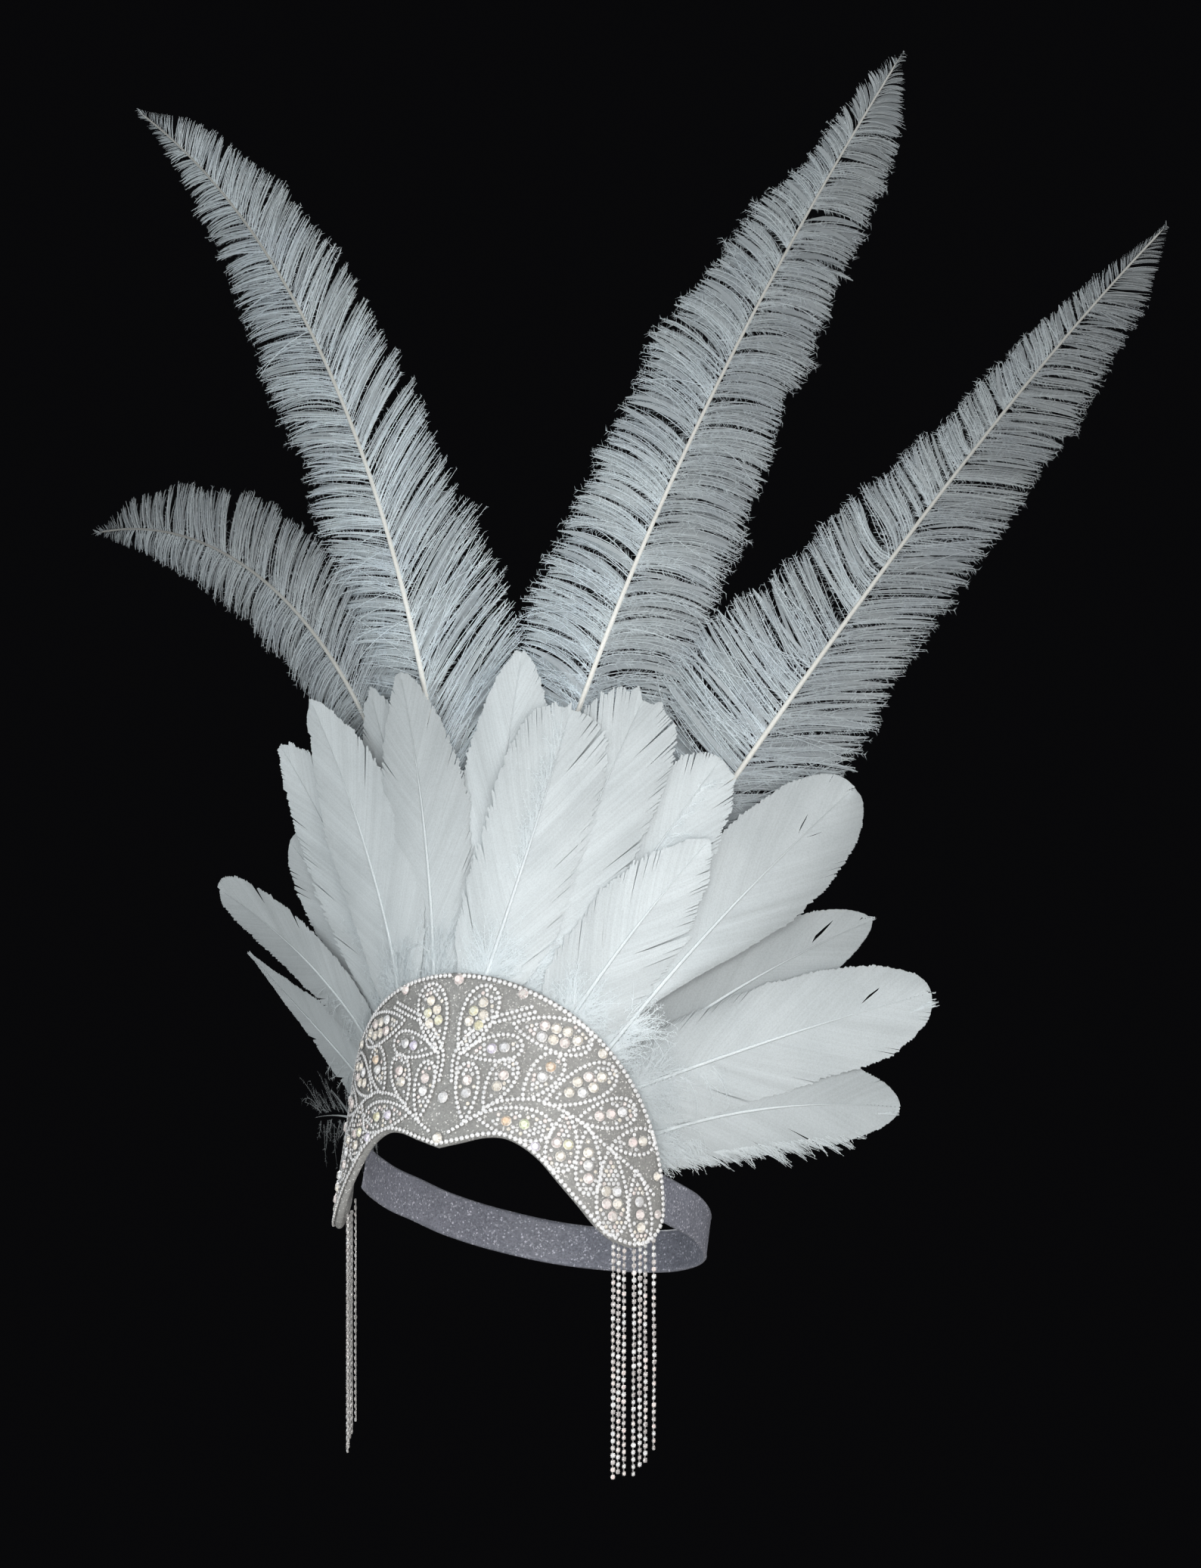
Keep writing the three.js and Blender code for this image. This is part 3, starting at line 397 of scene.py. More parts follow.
def even(points, count):
    """The same line with its points at even distances."""
    steps = np.linalg.norm(np.diff(points, axis=0), axis=1)
    travel = np.concatenate([[0], np.cumsum(steps)])
    places = np.linspace(0, travel[-1], count)
    return np.stack([np.interp(places, travel, column) for column in points.T], axis=1)


def line_length(points):
    return float(np.linalg.norm(np.diff(points, axis=0), axis=1).sum())


def leaned(points):
    """The frame of the panel and feathers, tipped back to the frame of the head."""
    x, y, z = np.moveaxis(np.asarray(points, float), -1, 0)
    cos, sin = math.cos(LEAN_BACK), math.sin(LEAN_BACK)
    return stack(x, y * cos + z * sin, z * cos - y * sin)


def circle(sides, radius, height, turn=0.0):
    angles = np.arange(sides) * 2 * math.pi / sides + turn
    return stack(radius * np.cos(angles), radius * np.sin(angles), height)


# Meshes from arrays

class Pile:
    """Points and faces gathered for one mesh, with a tint for each point and a material for each face."""

    def __init__(self):
        self.points = []
        self.tints = []
        self.faces = []
        self.materials = []
        self.count = 0

    def add(self, points, faces, tint=1.0, material=0):
        points = np.asarray(points, float).reshape(-1, 3)
        tint = np.asarray(tint, float)
        if tint.ndim < 2:
            tint = np.repeat(np.broadcast_to(tint, (len(points),))[:, None], 3, axis=1)
        self.points.append(points)
        self.tints.append(np.broadcast_to(tint, points.shape))
        self.faces.append(np.asarray(faces, int) + self.count)
        self.materials.append(np.full(len(faces), material))
        self.count += len(points)


def make_piece(name, pile, materials, smooth=True):
    """A mesh object from a pile. It rides with the headdress and stands for the node of the same name."""
    points = np.concatenate(pile.points) * MM
    tints = np.concatenate(pile.tints)
    sizes = np.concatenate([np.full(len(faces), faces.shape[1]) for faces in pile.faces])
    corners = np.concatenate([faces.ravel() for faces in pile.faces])
    mesh = bpy.data.meshes.new(name)
    mesh.vertices.add(len(points))
    mesh.vertices.foreach_set("co", points.astype(np.float32).ravel())
    mesh.loops.add(len(corners))
    mesh.loops.foreach_set("vertex_index", corners.astype(np.int32))
    mesh.polygons.add(len(sizes))
    starts = np.concatenate([[0], np.cumsum(sizes)[:-1]])
    mesh.polygons.foreach_set("loop_start", starts.astype(np.int32))
    mesh.polygons.foreach_set("material_index", np.concatenate(pile.materials).astype(np.int32))
    mesh.polygons.foreach_set("use_smooth", np.full(len(sizes), smooth))
    colours = mesh.attributes.new("tint", "FLOAT_COLOR", "POINT")
    colours.data.foreach_set("color", np.c_[tints, np.ones(len(tints))].astype(np.float32).ravel())
    for material in materials:
        mesh.materials.append(material)
    mesh.update(calc_edges=True)
    mesh.validate()
    piece = bpy.data.objects.new(name + "_look", mesh)
    bpy.context.scene.collection.objects.link(piece)
    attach(piece, "root")
    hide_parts(name)
    return piece


def grid_quads(rows, columns, close_columns=False):
    """Quads between rows of points. Closed columns make a ring of each row."""
    row = np.arange(rows - 1)[:, None]
    column = np.arange(columns if close_columns else columns - 1)[None, :]
    first = row * columns + column
    second = row * columns + (column + 1) % columns
    return stack(first, second, second + columns, first + columns).reshape(-1, 4)


def repeat_faces(faces, copies, points_each):
    shifts = np.arange(copies)[:, None, None] * points_each
    return (faces[None] + shifts).reshape(-1, faces.shape[1])


def add_ribbons(pile, middles, halves, tint):
    """Flat strips: middles is strips x steps x 3, and halves goes from the middle to one edge."""
    strips, steps, _ = middles.shape
    points = np.stack([middles - halves, middles + halves], axis=2)
    faces = repeat_faces(grid_quads(steps, 2), strips, 2 * steps)
    pile.add(points, faces, np.repeat(tint.ravel(), 2))


def add_tubes(pile, middles, beside, lift, radii, sides, tint):
    """Round strands with open ends: radii is strands x steps."""
    strands, steps, _ = middles.shape
    angles = np.arange(sides) * 2 * math.pi / sides
    ring = beside[:, :, None] * np.cos(angles)[:, None] + lift[:, :, None] * np.sin(angles)[:, None]
    points = middles[:, :, None] + ring * radii[:, :, None, None]
    faces = repeat_faces(grid_quads(steps, sides, close_columns=True), strands, steps * sides)
    pile.add(points, faces, np.repeat(tint.ravel(), sides))


def add_quill(pile, middles, normals, radii, sides, flat, tint, material=0):
    """One tapered shaft that ends in a fine point, flattened along the normals."""
    radii[:, -1] = SHAFT["point"]
    ahead = unit(np.gradient(middles, axis=1))
    beside = unit(np.cross(ahead, normals))
    add_tubes(pile, middles, beside, flat * normals, radii, sides, tint)
    pile.materials[-1][:] = material


def add_shell(pile, rings, tint=1.0):
    """A closed shell through a row of rings, capped at both ends."""
    count, ring, _ = rings.shape
    cap = np.arange(ring)[None, :]
    pile.add(rings, grid_quads(count, ring, close_columns=True), tint)
    pile.add(rings[0], cap)
    pile.add(rings[-1], cap[:, ::-1])


# Materials

# Sockets of a mix node that mixes colours, by number
MIX = {"share": 0, "colours": (6, 7), "product": 2}


class Surface:
    """A material whose constants sit on the shader's own sockets and whose nodes feed the other sockets."""

    def __init__(self, name, **sockets):
        self.material = bpy.data.materials.new(name)
        self.material.use_nodes = True
        self.tree = self.material.node_tree
        self.shader = self.tree.nodes["Principled BSDF"]
        self.place = self.node("TexCoord").outputs["Object"]
        for socket, value in sockets.items():
            self.shader.inputs[socket.replace("_", " ")].default_value = value

    def node(self, kind, **settings):
        node = self.tree.nodes.new("ShaderNode" + kind)
        for key, value in settings.items():
            if key in node.inputs:
                node.inputs[key].default_value = value
            else:
                setattr(node, key, value)
        return node

    def link(self, source, socket, node=None):
        """Feeds a socket of a node, or of the shader."""
        self.tree.links.new(source, (node or self.shader).inputs[socket])

    def texture(self, kind, **settings):
        """The outputs of a texture laid over the object's own coordinates."""
        node = self.node("Tex" + kind, **settings)
        self.link(self.place, "Vector", node)
        return node.outputs

    def tint(self):
        return self.node("Attribute", attribute_name="tint").outputs["Color"]

    def ramp(self, value, *stops):
        """Colours, or greys given as one number, at places of a value."""
        node = self.node("ValToRGB")
        self.link(value, "Fac", node)
        elements = node.color_ramp.elements
        while len(elements) < len(stops):
            elements.new(0.5)
        for element, (place, colour) in zip(elements, stops):
            element.position = place
            element.color = (*colour, 1) if isinstance(colour, tuple) else (colour, colour, colour, 1)
        return node.outputs["Color"]

    def multiply(self, *colours):
        """The product of two colours."""
        mix = self.node("Mix", data_type="RGBA", blend_type="MULTIPLY")
        mix.inputs[MIX["share"]].default_value = 1.0
        for socket, colour in zip(MIX["colours"], colours):
            self.link(colour, socket, mix)
        return mix.outputs[MIX["product"]]

    def bump(self, height, strength, distance):
        node = self.node("Bump", Strength=strength, Distance=distance)
        self.link(height, "Height", node)
        self.link(node.outputs["Normal"], "Normal")


def feather_material(name, dark, light, sheen):
    """White barbs: a tint for each barb, with faint cloudy and fine variation."""
    surface = Surface(name, Roughness=0.62, Sheen_Weight=sheen, Sheen_Roughness=0.4, Specular_IOR_Level=0.3)
    cloud = surface.texture("Noise", Scale=45.0, Detail=2.0)["Fac"]
    fine = surface.texture("Noise", Scale=1800.0, Detail=1.0)["Fac"]
    tone = surface.multiply(surface.ramp(cloud, (0.3, dark), (0.62, light)), surface.tint())
    tone = surface.multiply(tone, surface.ramp(fine, (0.3, 0.9), (0.6, 1.0)))
    surface.link(tone, "Base Color")
    surface.bump(fine, 0.15, 0.0002)
    return surface.material


def stone_material():
    """Foiled glass: each facet has its own tint with painted reflections, broken up inside by smaller cells
    of painted glint.
    """
    surface = Surface("foiled_glass", Roughness=0.2, Coat_Weight=1.0, Coat_Roughness=0.02, IOR=1.55)
    cells = surface.texture("Voronoi", Scale=1300.0)
    painted_glint = surface.ramp(cells["Color"], (0.15, 0.86), (0.5, 1.0))
    surface.link(surface.multiply(surface.tint(), painted_glint), "Base Color")
    surface.bump(cells["Distance"], 0.35, 0.0006)
    return surface.material


def setting_material():
    """Silver-plated cups with slightly dull, worn patches."""
    surface = Surface("silver_setting", Metallic=0.6)
    worn = surface.texture("Noise", Scale=500.0, Detail=3.0)["Fac"]
    surface.link(surface.ramp(worn, (0.3, (0.5, 0.49, 0.48)), (0.7, (0.72, 0.71, 0.70))), "Base Color")
    surface.link(surface.ramp(worn, (0.3, 0.42), (0.7, 0.26)), "Roughness")
    return surface.material


def glitter_material(name, dark, base, painted_glint, scale):
    """Fine glitter on cloth: flakes with their own bump and painted brightness, a few of them painted glints.
    """
    surface = Surface(name, Metallic=0.05)
    flakes = surface.node("SeparateColor")
    surface.link(surface.texture("Voronoi", Scale=scale)["Color"], "Color", flakes)
    cloud = surface.texture("Noise", Scale=120.0, Detail=3.0)["Fac"]
    tone = surface.ramp(flakes.outputs["Red"], (0.0, dark), (0.9, base), (0.99, painted_glint))
    cloudy = surface.ramp(cloud, (0.3, 0.86), (0.7, 1.0))
    surface.link(surface.multiply(tone, cloudy), "Base Color")
    surface.link(surface.ramp(flakes.outputs["Green"], (0.0, 0.35), (1.0, 0.65)), "Roughness")
    surface.bump(flakes.outputs["Blue"], 0.25, 0.0003)
    return surface.material


# Panel shapes

BROW_ACROSS, BROW_UP = (np.array(BROW_EDGE[key], float) for key in ("across", "up"))
BROW_SLOPES = np.gradient(BROW_UP, BROW_ACROSS)


def brow_edge(side):
    """Smooth curve through the brow's places."""
    step = np.clip(np.searchsorted(BROW_ACROSS, side, side="right") - 1, 0, len(BROW_ACROSS) - 2)
    width = BROW_ACROSS[step + 1] - BROW_ACROSS[step]
    t = (side - BROW_ACROSS[step]) / width
    start = (2 * t**3 - 3 * t**2 + 1) * BROW_UP[step] + (t**3 - 2 * t**2 + t) * width * BROW_SLOPES[step]
    end = (3 * t**2 - 2 * t**3) * BROW_UP[step + 1] + (t**3 - t**2) * width * BROW_SLOPES[step + 1]
    return start + end


def lobe_half_height(side):
    return np.sqrt(np.maximum(LOBE["radius"] ** 2 - (side - LOBE_ACROSS) ** 2, 0))


def top_edge(across):
    side = np.abs(across)
    dome = np.sqrt(np.maximum(DOME["radius"] ** 2 - side**2, 0)) - DOME["drop"]
    return np.where(side <= DOME_END, dome, LOBE_UP + lobe_half_height(side))


def bottom_edge(across):
    side = np.abs(across)
    brow = brow_edge(np.minimum(side, LOBE_ACROSS))
    return np.where(side <= LOBE_ACROSS, brow, LOBE_UP - lobe_half_height(side))


def on_panel(across, up, lift=0.0):
    """A flat place bent round the head; lift is measured outwards from the panel's face."""
    turn = np.asarray(across) / PANEL["radius"]
    radius = PANEL["radius"] + np.asarray(lift)
    return stack(radius * np.sin(turn), -radius * np.cos(turn), up)


def make_panel(material):
    """A padded cloth panel: front, rolled edges and a plain back as one closed shell."""
    wall = PANEL["wall"]
    share = np.linspace(0, 1, PANEL["columns"] + 1)
    across = PANEL_END * np.sin(math.pi * (share - 0.5))
    low = bottom_edge(across)[:, None]
    high = top_edge(across)[:, None]
    climb = np.linspace(0, 1, PANEL["rows"])[None, :]
    roll = np.linspace(-math.pi / 2, math.pi / 2, PANEL["rim_steps"] + 2)[1:-1][None, :]
    inset = np.minimum(wall / 2, (high - low) * PANEL["rim_share"])
    front = lerp(low + inset, high - inset, climb)
    top_roll = high - inset + inset * np.cos(roll)
    low_roll = low + inset - inset * np.cos(roll)
    ups = np.concatenate([front, top_roll, front[:, ::-1], low_roll], axis=1)
    flat = np.ones_like(front)
    roll_in = -wall / 2 - wall / 2 * np.sin(roll) + 0 * high
    lifts = np.concatenate([0 * flat, roll_in, -wall * flat, roll_in[:, ::-1]], axis=1)
    pile = Pile()
    add_shell(pile, leaned(on_panel(across[:, None], ups, lifts)))
    return make_piece("front_panel", pile, [material])


# Stones, as templates of radius 1

STONE_TABLE = 0.56


def stone_template(sides, crown):
    """Points, triangles and facet numbers of a cut stone standing on its girdle."""
    table = circle(sides, STONE_TABLE, crown, math.pi / sides)
    girdle = circle(sides, 1.0, 0.0)
    centre = np.array([0, 0, crown])
    points = []
    facets = []
    for i in range(sides):
        after = (i + 1) % sides
        before = (i - 1) % sides
        triangles = (
            (0, (centre, table[i], table[after])),
            (1 + i, (girdle[i], table[i], table[before])),
            (1 + sides + i, (girdle[i], girdle[after], table[i])),
        )
        for facet, corners in triangles:
            points.extend(corners)
            facets.extend([facet] * 3)
    return np.array(points), np.arange(len(points)).reshape(-1, 3), np.array(facets)


def ring_wall(sides, rings):
    """A round wall through rings, each a radius and a height."""
    points = np.concatenate([circle(sides, radius, height) for radius, height in rings])
    return points, grid_quads(len(rings), sides, close_columns=True)


def prong_template(count):
    """Small claws that lean in over the girdle, as closed wedges."""
    half = 0.15
    outline = np.array([[1.0, -0.4], [1.14, 0.1], [0.82, 0.3]])
    wedge = np.array([[0, 1, 2], [5, 4, 3], [0, 3, 4], [0, 4, 1], [1, 4, 5], [1, 5, 2], [2, 5, 3], [2, 3, 0]])
    points = []
    for turn in (np.arange(count) + 0.5) * 2 * math.pi / count:
        out = np.array([math.cos(turn), math.sin(turn), 0])
        beside = np.array([-math.sin(turn), math.cos(turn), 0])
        for side in (-half, half):
            points.append(out * outline[:, :1] + np.array([0, 0, 1]) * outline[:, 1:] + side * beside)
    return np.concatenate(points), repeat_faces(wedge, count, 2 * len(outline))


def frames_on_panel(places, lift):
    """Where stones stand on the panel, with the directions along, across and out of it."""
    places = np.asarray(places, float)
    across, up = places.T
    origin = leaned(on_panel(across, up, lift))
    out = leaned(on_panel(across, 0 * up, 1.0) - on_panel(across, 0 * up))
    beside = leaned(on_panel(across + 0.01, 0 * up) - on_panel(across - 0.01, 0 * up))
    return origin, unit(beside), unit(np.cross(out, beside)), unit(out)


def turn_frames(frames, angles):
    origin, beside, upward, out = frames
    cos, sin = np.cos(angles)[:, None], np.sin(angles)[:, None]
    return origin, beside * cos + upward * sin, upward * cos - beside * sin, out


def place_template(pile, template, faces, frames, radii, tint, material):
    """Copies of a template, one for each frame."""
    origin, *axes = frames
    scaled = template[None] * radii[:, None, None]
    points = origin[:, None] + sum(scaled[..., i:i + 1] * axis[:, None] for i, axis in enumerate(axes))
    pile.add(points, repeat_faces(faces, len(origin), len(template)), tint, material)


def facet_tints(rng, tints, facets, painted_dimmest):
    """A tint for each point of each stone: its facets vary between its two colours and in brightness, painted
    reflections.
    """
    size = (len(tints), facets.max() + 1, 1)
    first, second = (np.array([TINTS[name][kind] for name in tints])[:, None] for kind in (0, 1))
    colours = lerp(first, second, rng.random(size)) * rng.uniform(painted_dimmest, PAINTED_FACET_BRIGHTEST, size)
    return colours[:, facets].reshape(-1, 3)


CHAIN_STONE = stone_template(8, 0.36)
CHAIN_CUP = ring_wall(6, [(0.1, -0.52), (0.9, -0.5), (1.08, 0.0), (0.96, 0.0)])
CHAIN_PRONGS = prong_template(4)
BIG_STONE = stone_template(12, 0.5)
BIG_SEAT = ring_wall(12, [(0.1, -0.24), (0.98, -0.22), (1.05, 0.0), (0.98, 0.02)])
CUP_DEPTH, SEAT_DEPTH = 0.52, 0.24
# Painted reflections on the facets: brightness of the dimmest facets of chain, fill and big stones, and of
# the brightest facets of all
PAINTED_FACET_DIMMEST = {"chain": 0.85, "fill": 0.75, "big": 0.65}
PAINTED_FACET_BRIGHTEST = 1.08
STONE_SLOT, SETTING_SLOT = 0, 1


def add_cup_chain(pile, rng, frames, radius, tints=("clear",)):
    """Small stones of the given tints in turn, each in a cup with four claws."""
    origin, beside, upward, out = frames
    count = len(origin)
    lifted = (origin + out * radius * CUP_DEPTH, beside, upward, out)
    radii = radius * rng.uniform(0.96, 1.03, count)
    points, faces, facets = CHAIN_STONE
    tint = facet_tints(rng, np.resize(tints, count), facets, PAINTED_FACET_DIMMEST["chain"])
    place_template(pile, points, faces, lifted, radii, tint, STONE_SLOT)
    for points, faces in (CHAIN_CUP, CHAIN_PRONGS):
        place_template(pile, points, faces, lifted, radii, 1.0, SETTING_SLOT)


def add_stones(pile, rng, stone, places, radii, tints, lift, painted_dimmest):
    """Stones on the cloth, each turned its own way. Returns their frames."""
    points, faces, facets = stone
    frames = turn_frames(frames_on_panel(places, lift), rng.uniform(0, 1, len(places)))
    place_template(pile, points, faces, frames, radii, facet_tints(rng, tints, facets, painted_dimmest), STONE_SLOT)
    return frames


def add_big_stones(pile, rng, places, radii, tints, lift):
    """Big stones, each on a low seat."""
    radii = np.asarray(radii, float)
    lift = lift + SEAT_DEPTH * radii
    frames = add_stones(pile, rng, BIG_STONE, places, radii, tints, lift, PAINTED_FACET_DIMMEST["big"])
    place_template(pile, *BIG_SEAT, frames, radii, 1.0, SETTING_SLOT)


def chain_on_panel(pile, rng, line, chain, closed=False):
    """A cup chain along a flat line, its cups turned with the line."""
    count = max(2, int(round(line_length(line) / chain["pitch"])) + (0 if closed else 1))
    places = even(line, count + 1)[:-1] if closed else even(line, count)
    ahead = np.gradient(places, axis=0)
    frames = frames_on_panel(places, chain["lift"])
    add_cup_chain(pile, rng, turn_frames(frames, np.arctan2(ahead[:, 1], ahead[:, 0])), chain["radius"])


def border_line():
    """The loop inside the panel's edge: over the dome, round a lobe, along the brow and back up."""
    inset = BORDER["inset"]
    dome_turn = np.linspace(0, LOBE["turn"], 60)
    lobe_turn = np.linspace(LOBE["turn"], math.pi, 30)[1:]
    brow = np.linspace(LOBE_ACROSS, 0, 90)[1:]
    dome = DOME["radius"] - inset
    lobe = LOBE["radius"] - inset
    half = np.concatenate([
        stack(dome * np.sin(dome_turn), dome * np.cos(dome_turn) - DOME["drop"]),
        stack(LOBE_ACROSS + lobe * np.sin(lobe_turn), LOBE_UP + lobe * np.cos(lobe_turn)),
        stack(brow, brow_edge(brow) + inset),
    ])
    other = half[1:][::-1] * np.array([-1, 1])
    return np.concatenate([half, other])


def make_border(materials):
    rng = np.random.default_rng(SEEDS["border_chain"])
    pile = Pile()
    chain_on_panel(pile, rng, border_line(), BORDER, closed=True)
    rows = [(side * across, up, radius, tint) for across, up, radius, tint in EDGE_STONES
            for side in ((1, -1) if across else (1,))]
    across, up, radii, tints = zip(*rows)
    add_big_stones(pile, rng, stack(across, up), radii, tints, EDGE_LIFT)
    return make_piece("border_chain", pile, materials, smooth=False)


# Leaves, pointed at the base and fullest past the middle: shares of the length, and of the half width there

LEAF_TURN = np.linspace(0, 1, LEAF_SWELL["steps"])
LEAF_FORWARD = (1 - np.cos(math.pi * LEAF_TURN)) / 2
LEAF_HALF = np.sin(math.pi * LEAF_TURN) * LEAF_TURN ** LEAF_SWELL["power"] * LEAF_SWELL["scale"]


class Leaf:
    """One leaf of the ornament, drawn flat: its two sides and the stones inside it."""

    def __init__(self, row, mirror):
        self.spec = dict(zip(LEAF_COLUMNS, row))
        self.base = self.spec["base"] * mirror
        axis = self.spec["tip"] * mirror - self.base
        self.length = float(np.linalg.norm(axis))
        self.axes = np.array([axis, (-axis[1], axis[0])]) / self.length
        self.half = LEAF_HALF * self.spec["width"] / 2

    def place(self, forward, beside):
        """Places at distances along the leaf and beside its middle line."""
        return self.base + stack(forward, beside) @ self.axes

    def sides(self):
        return [self.place(LEAF_FORWARD * self.length, side * self.half) for side in (1, -1)]

    def stones(self):
        """Big stones: rows from the tip towards the base, of one or two stones."""
        first = self.spec["first"] * self.length
        spots = [(first - self.spec["step"] * row, LEAF_STONE["beside"] * shift)
                 for row, count in enumerate(self.spec["stones"])
                 for shift in ((0,) if count == 1 else (1, -1))]
        return self.place(*np.transpose(spots))

    def fill(self, stones):
        """Small stones packed into the rest of the leaf, clear of its chain and of its big stones."""
        pitch = LEAF_FILL["pitch"]
        columns = np.arange(pitch, self.length, pitch * math.sqrt(3) / 2)
        shift = np.arange(len(columns)) % 2 / 2
        beside = (np.arange(-6, 7) + shift[:, None]) * pitch
        forward = columns[:, None] + 0 * beside
        room = np.interp(forward / self.length, LEAF_FORWARD, self.half) - LEAF_FILL["inset"]
        inside = np.abs(beside) < room
        places = self.place(forward[inside], beside[inside])
        away = np.linalg.norm(places[:, None] - stones[None], axis=2).min(axis=1)
        return places[away > LEAF_STONE["radius"] + LEAF_FILL["radius"]]


def make_spray(name, side, materials):
    """One half of the ornament: stems, and leaves edged with chain and filled with stones."""
    rng = np.random.default_rng(SEEDS[name])
    pile = Pile()
    mirror = np.array([side, 1])
    for places in STEMS:
        chain_on_panel(pile, rng, smooth_curve(places * mirror, 200), STEM_CHAIN)
    places = []
    tints = []
    for number, row in enumerate(LEAVES, start=1):
        leaf = Leaf(row, mirror)
        first, second = leaf.sides()
        chain_on_panel(pile, rng, first, LEAF_CHAIN)
        count = int(round(line_length(second) / LEAF_CHAIN["pitch"])) + 1
        chain_on_panel(pile, rng, even(second, count)[1:-1], LEAF_CHAIN)
        stones = leaf.stones()
        stone_tints = RIGHT_TINTS.get(number, leaf.spec["tints"]) if side < 0 else leaf.spec["tints"]
        places.extend(stones)
        tints.extend(stone_tints.split())
        small = leaf.fill(stones)
        small = small[rng.random(len(small)) < leaf.spec["fill"]]
        if len(small):
            small_tints = rng.choice(FILL_TINTS, len(small))
            radii = LEAF_FILL["radius"] * rng.uniform(*LEAF_FILL["sizes"], len(small))
            add_stones(pile, rng, CHAIN_STONE, small, radii, small_tints, LEAF_FILL["lift"], PAINTED_FACET_DIMMEST["fill"])
    add_big_stones(pile, rng, places, [LEAF_STONE["radius"]] * len(places), tints, LEAF_STONE["lift"])
    return make_piece(name, pile, materials, smooth=False)


def make_heart(materials):
    rng = np.random.default_rng(SEEDS["heart_stone"])
    pile = Pile()
    across, up, radius, tint = HEART_STONE
    add_big_stones(pile, rng, [(across, up)], [radius], [tint], EDGE_LIFT)
    return make_piece("heart_stone", pile, materials, smooth=False)


def box_points(low, high):
    corners = np.array([[x, y, z] for z in (0, 1) for y in (0, 1) for x in (0, 1)])
    return np.asarray(low) + corners * (np.asarray(high) - np.asarray(low))


BOX_FACES = np.array([[0, 2, 3, 1], [4, 5, 7, 6], [0, 1, 5, 4], [2, 6, 7, 3], [0, 4, 6, 2], [1, 3, 7, 5]])
LINK = box_points((-0.22, -0.9, -0.12), (0.22, 0.9, 0.12))
LINK_SUNK, CUP_SUNK = 0.3, 0.5


def make_fringe(name, side, materials):
    """Strands of cup chain, with links between the cups, that hang straight down from behind the lobe."""
    rng = np.random.default_rng(SEEDS[name])
    pile = Pile()
    inside = -PANEL["wall"] - FRINGE["gap"] - FRINGE["radius"]
    down = np.array([0, 0, -1.0])
    for number, across in enumerate(FRINGE["strands"]):
        up = float(bottom_edge(across)) + FRINGE["top"]
        top = leaned(on_panel(side * across, up, inside))
        drop = FRINGE["drop"] - number * FRINGE["shorten"]
        count = int(drop / FRINGE["pitch"])
        travel = np.arange(count) * FRINGE["pitch"] + FRINGE["radius"]
        sway = FRINGE["sway"] * wander(rng, count, 9)
        turn = side * across / PANEL["radius"] + FRINGE["twist"] * wander(rng, count, 6)
        out = stack(np.sin(turn), -np.cos(turn), 0 * turn)
        beside = np.cross(down, out)
        origin = top + travel[:, None] * down + sway[:, None] * beside
        aside, dip = (spread * rng.normal(0, 1, (count, 1)) for spread in FRINGE["tilt"])
        tilt = unit(out + aside * beside + dip * down)
        along = unit(np.cross(tilt, np.cross(down, tilt)))
        frames = (origin - tilt * CUP_SUNK, np.cross(along, tilt), along, tilt)
        add_cup_chain(pile, rng, frames, FRINGE["radius"], rng.choice(FRINGE_TINTS, count))
        middles = (origin[:-1] + origin[1:]) / 2
        downs = np.repeat(down[None], count - 1, axis=0)
        links = (middles - out[:-1] * LINK_SUNK, beside[:-1], downs, out[:-1])
        place_template(pile, LINK, BOX_FACES, links, np.ones(count - 1), 1.0, SETTING_SLOT)
    return make_piece(name, pile, materials, smooth=False)


# Strap

def make_strap(material):
    """A stretched elastic band: a thin closed shell with rounded edges and a raised binding along them."""
    right = np.array(STRAP_ROUTE, float)
    left = right[:-1][::-1] * np.array([-1, 1, 1])
    route = smooth_curve(np.concatenate([right, left]), STRAP["steps"])
    along = unit(np.gradient(route, axis=0))
    outward = unit(stack(along[:, 1], -along[:, 0], 0 * along[:, 0]))
    upward = unit(np.cross(outward, along))
    climb = np.linspace(-1, 1, STRAP["across"])
    edge = (1 - np.abs(climb)) * STRAP["width"] / 2
    crown = np.sqrt(np.clip(edge / (STRAP["thickness"] / 2), 0, 1))
    bound = edge < STRAP["binding"]
    half = crown * (STRAP["thickness"] / 2 - STRAP["sunk"] + STRAP["raised"] * bound)
    across = np.concatenate([climb, climb[::-1][1:-1]]) * STRAP["width"] / 2
    depth = np.concatenate([half, -half[::-1][1:-1]])
    points = route[:, None] + upward[:, None] * across[:, None] + outward[:, None] * depth[:, None]
    tint = np.where(np.concatenate([bound, bound[::-1][1:-1]]), STRAP["binding_tone"], 1.0)
    pile = Pile()
    add_shell(pile, leaned(points), np.tile(tint, len(route)))
    strap = make_piece("head_strap", pile, [material])
    flat = (STRAP["width"] * MM, line_length(route) * MM)
    return strap


# Fan that carries the feathers

def soft_start(distance, start):
    return np.hypot(distance, start) - start


def fan_surface(across, up):
    reach = np.hypot(across, up + DOME["drop"])
    turn = np.arctan2(across, up + DOME["drop"])
    held = np.minimum(reach, FAN["rim"])
    bend = held * np.sin(turn) / FAN["radius"]
    outward = stack(np.sin(bend), -np.cos(bend), 0 * bend)
    free = (reach - held)[..., None]
    sideways = smoothstep(np.abs(turn), FAN_TURN_BACK["from"], FAN_TURN_BACK["to"])
    back = bend * lerp(FAN_TURN_BACK["top"], FAN_TURN_BACK["side"], sideways)

    def ray(angle):
        return stack(np.sin(turn) * np.cos(angle), np.sin(turn) * np.sin(angle), np.cos(turn))

    point = FAN["radius"] * outward + stack(0 * held, 0 * held, held * np.cos(turn) - DOME["drop"])
    opened = soft_start(free, FAN["opening"]) * (ray(back) - ray(bend))
    forward = FAN["forward"] * soft_start(free, FAN["forward_start"]) * outward
    return point + free * ray(bend) + opened + forward


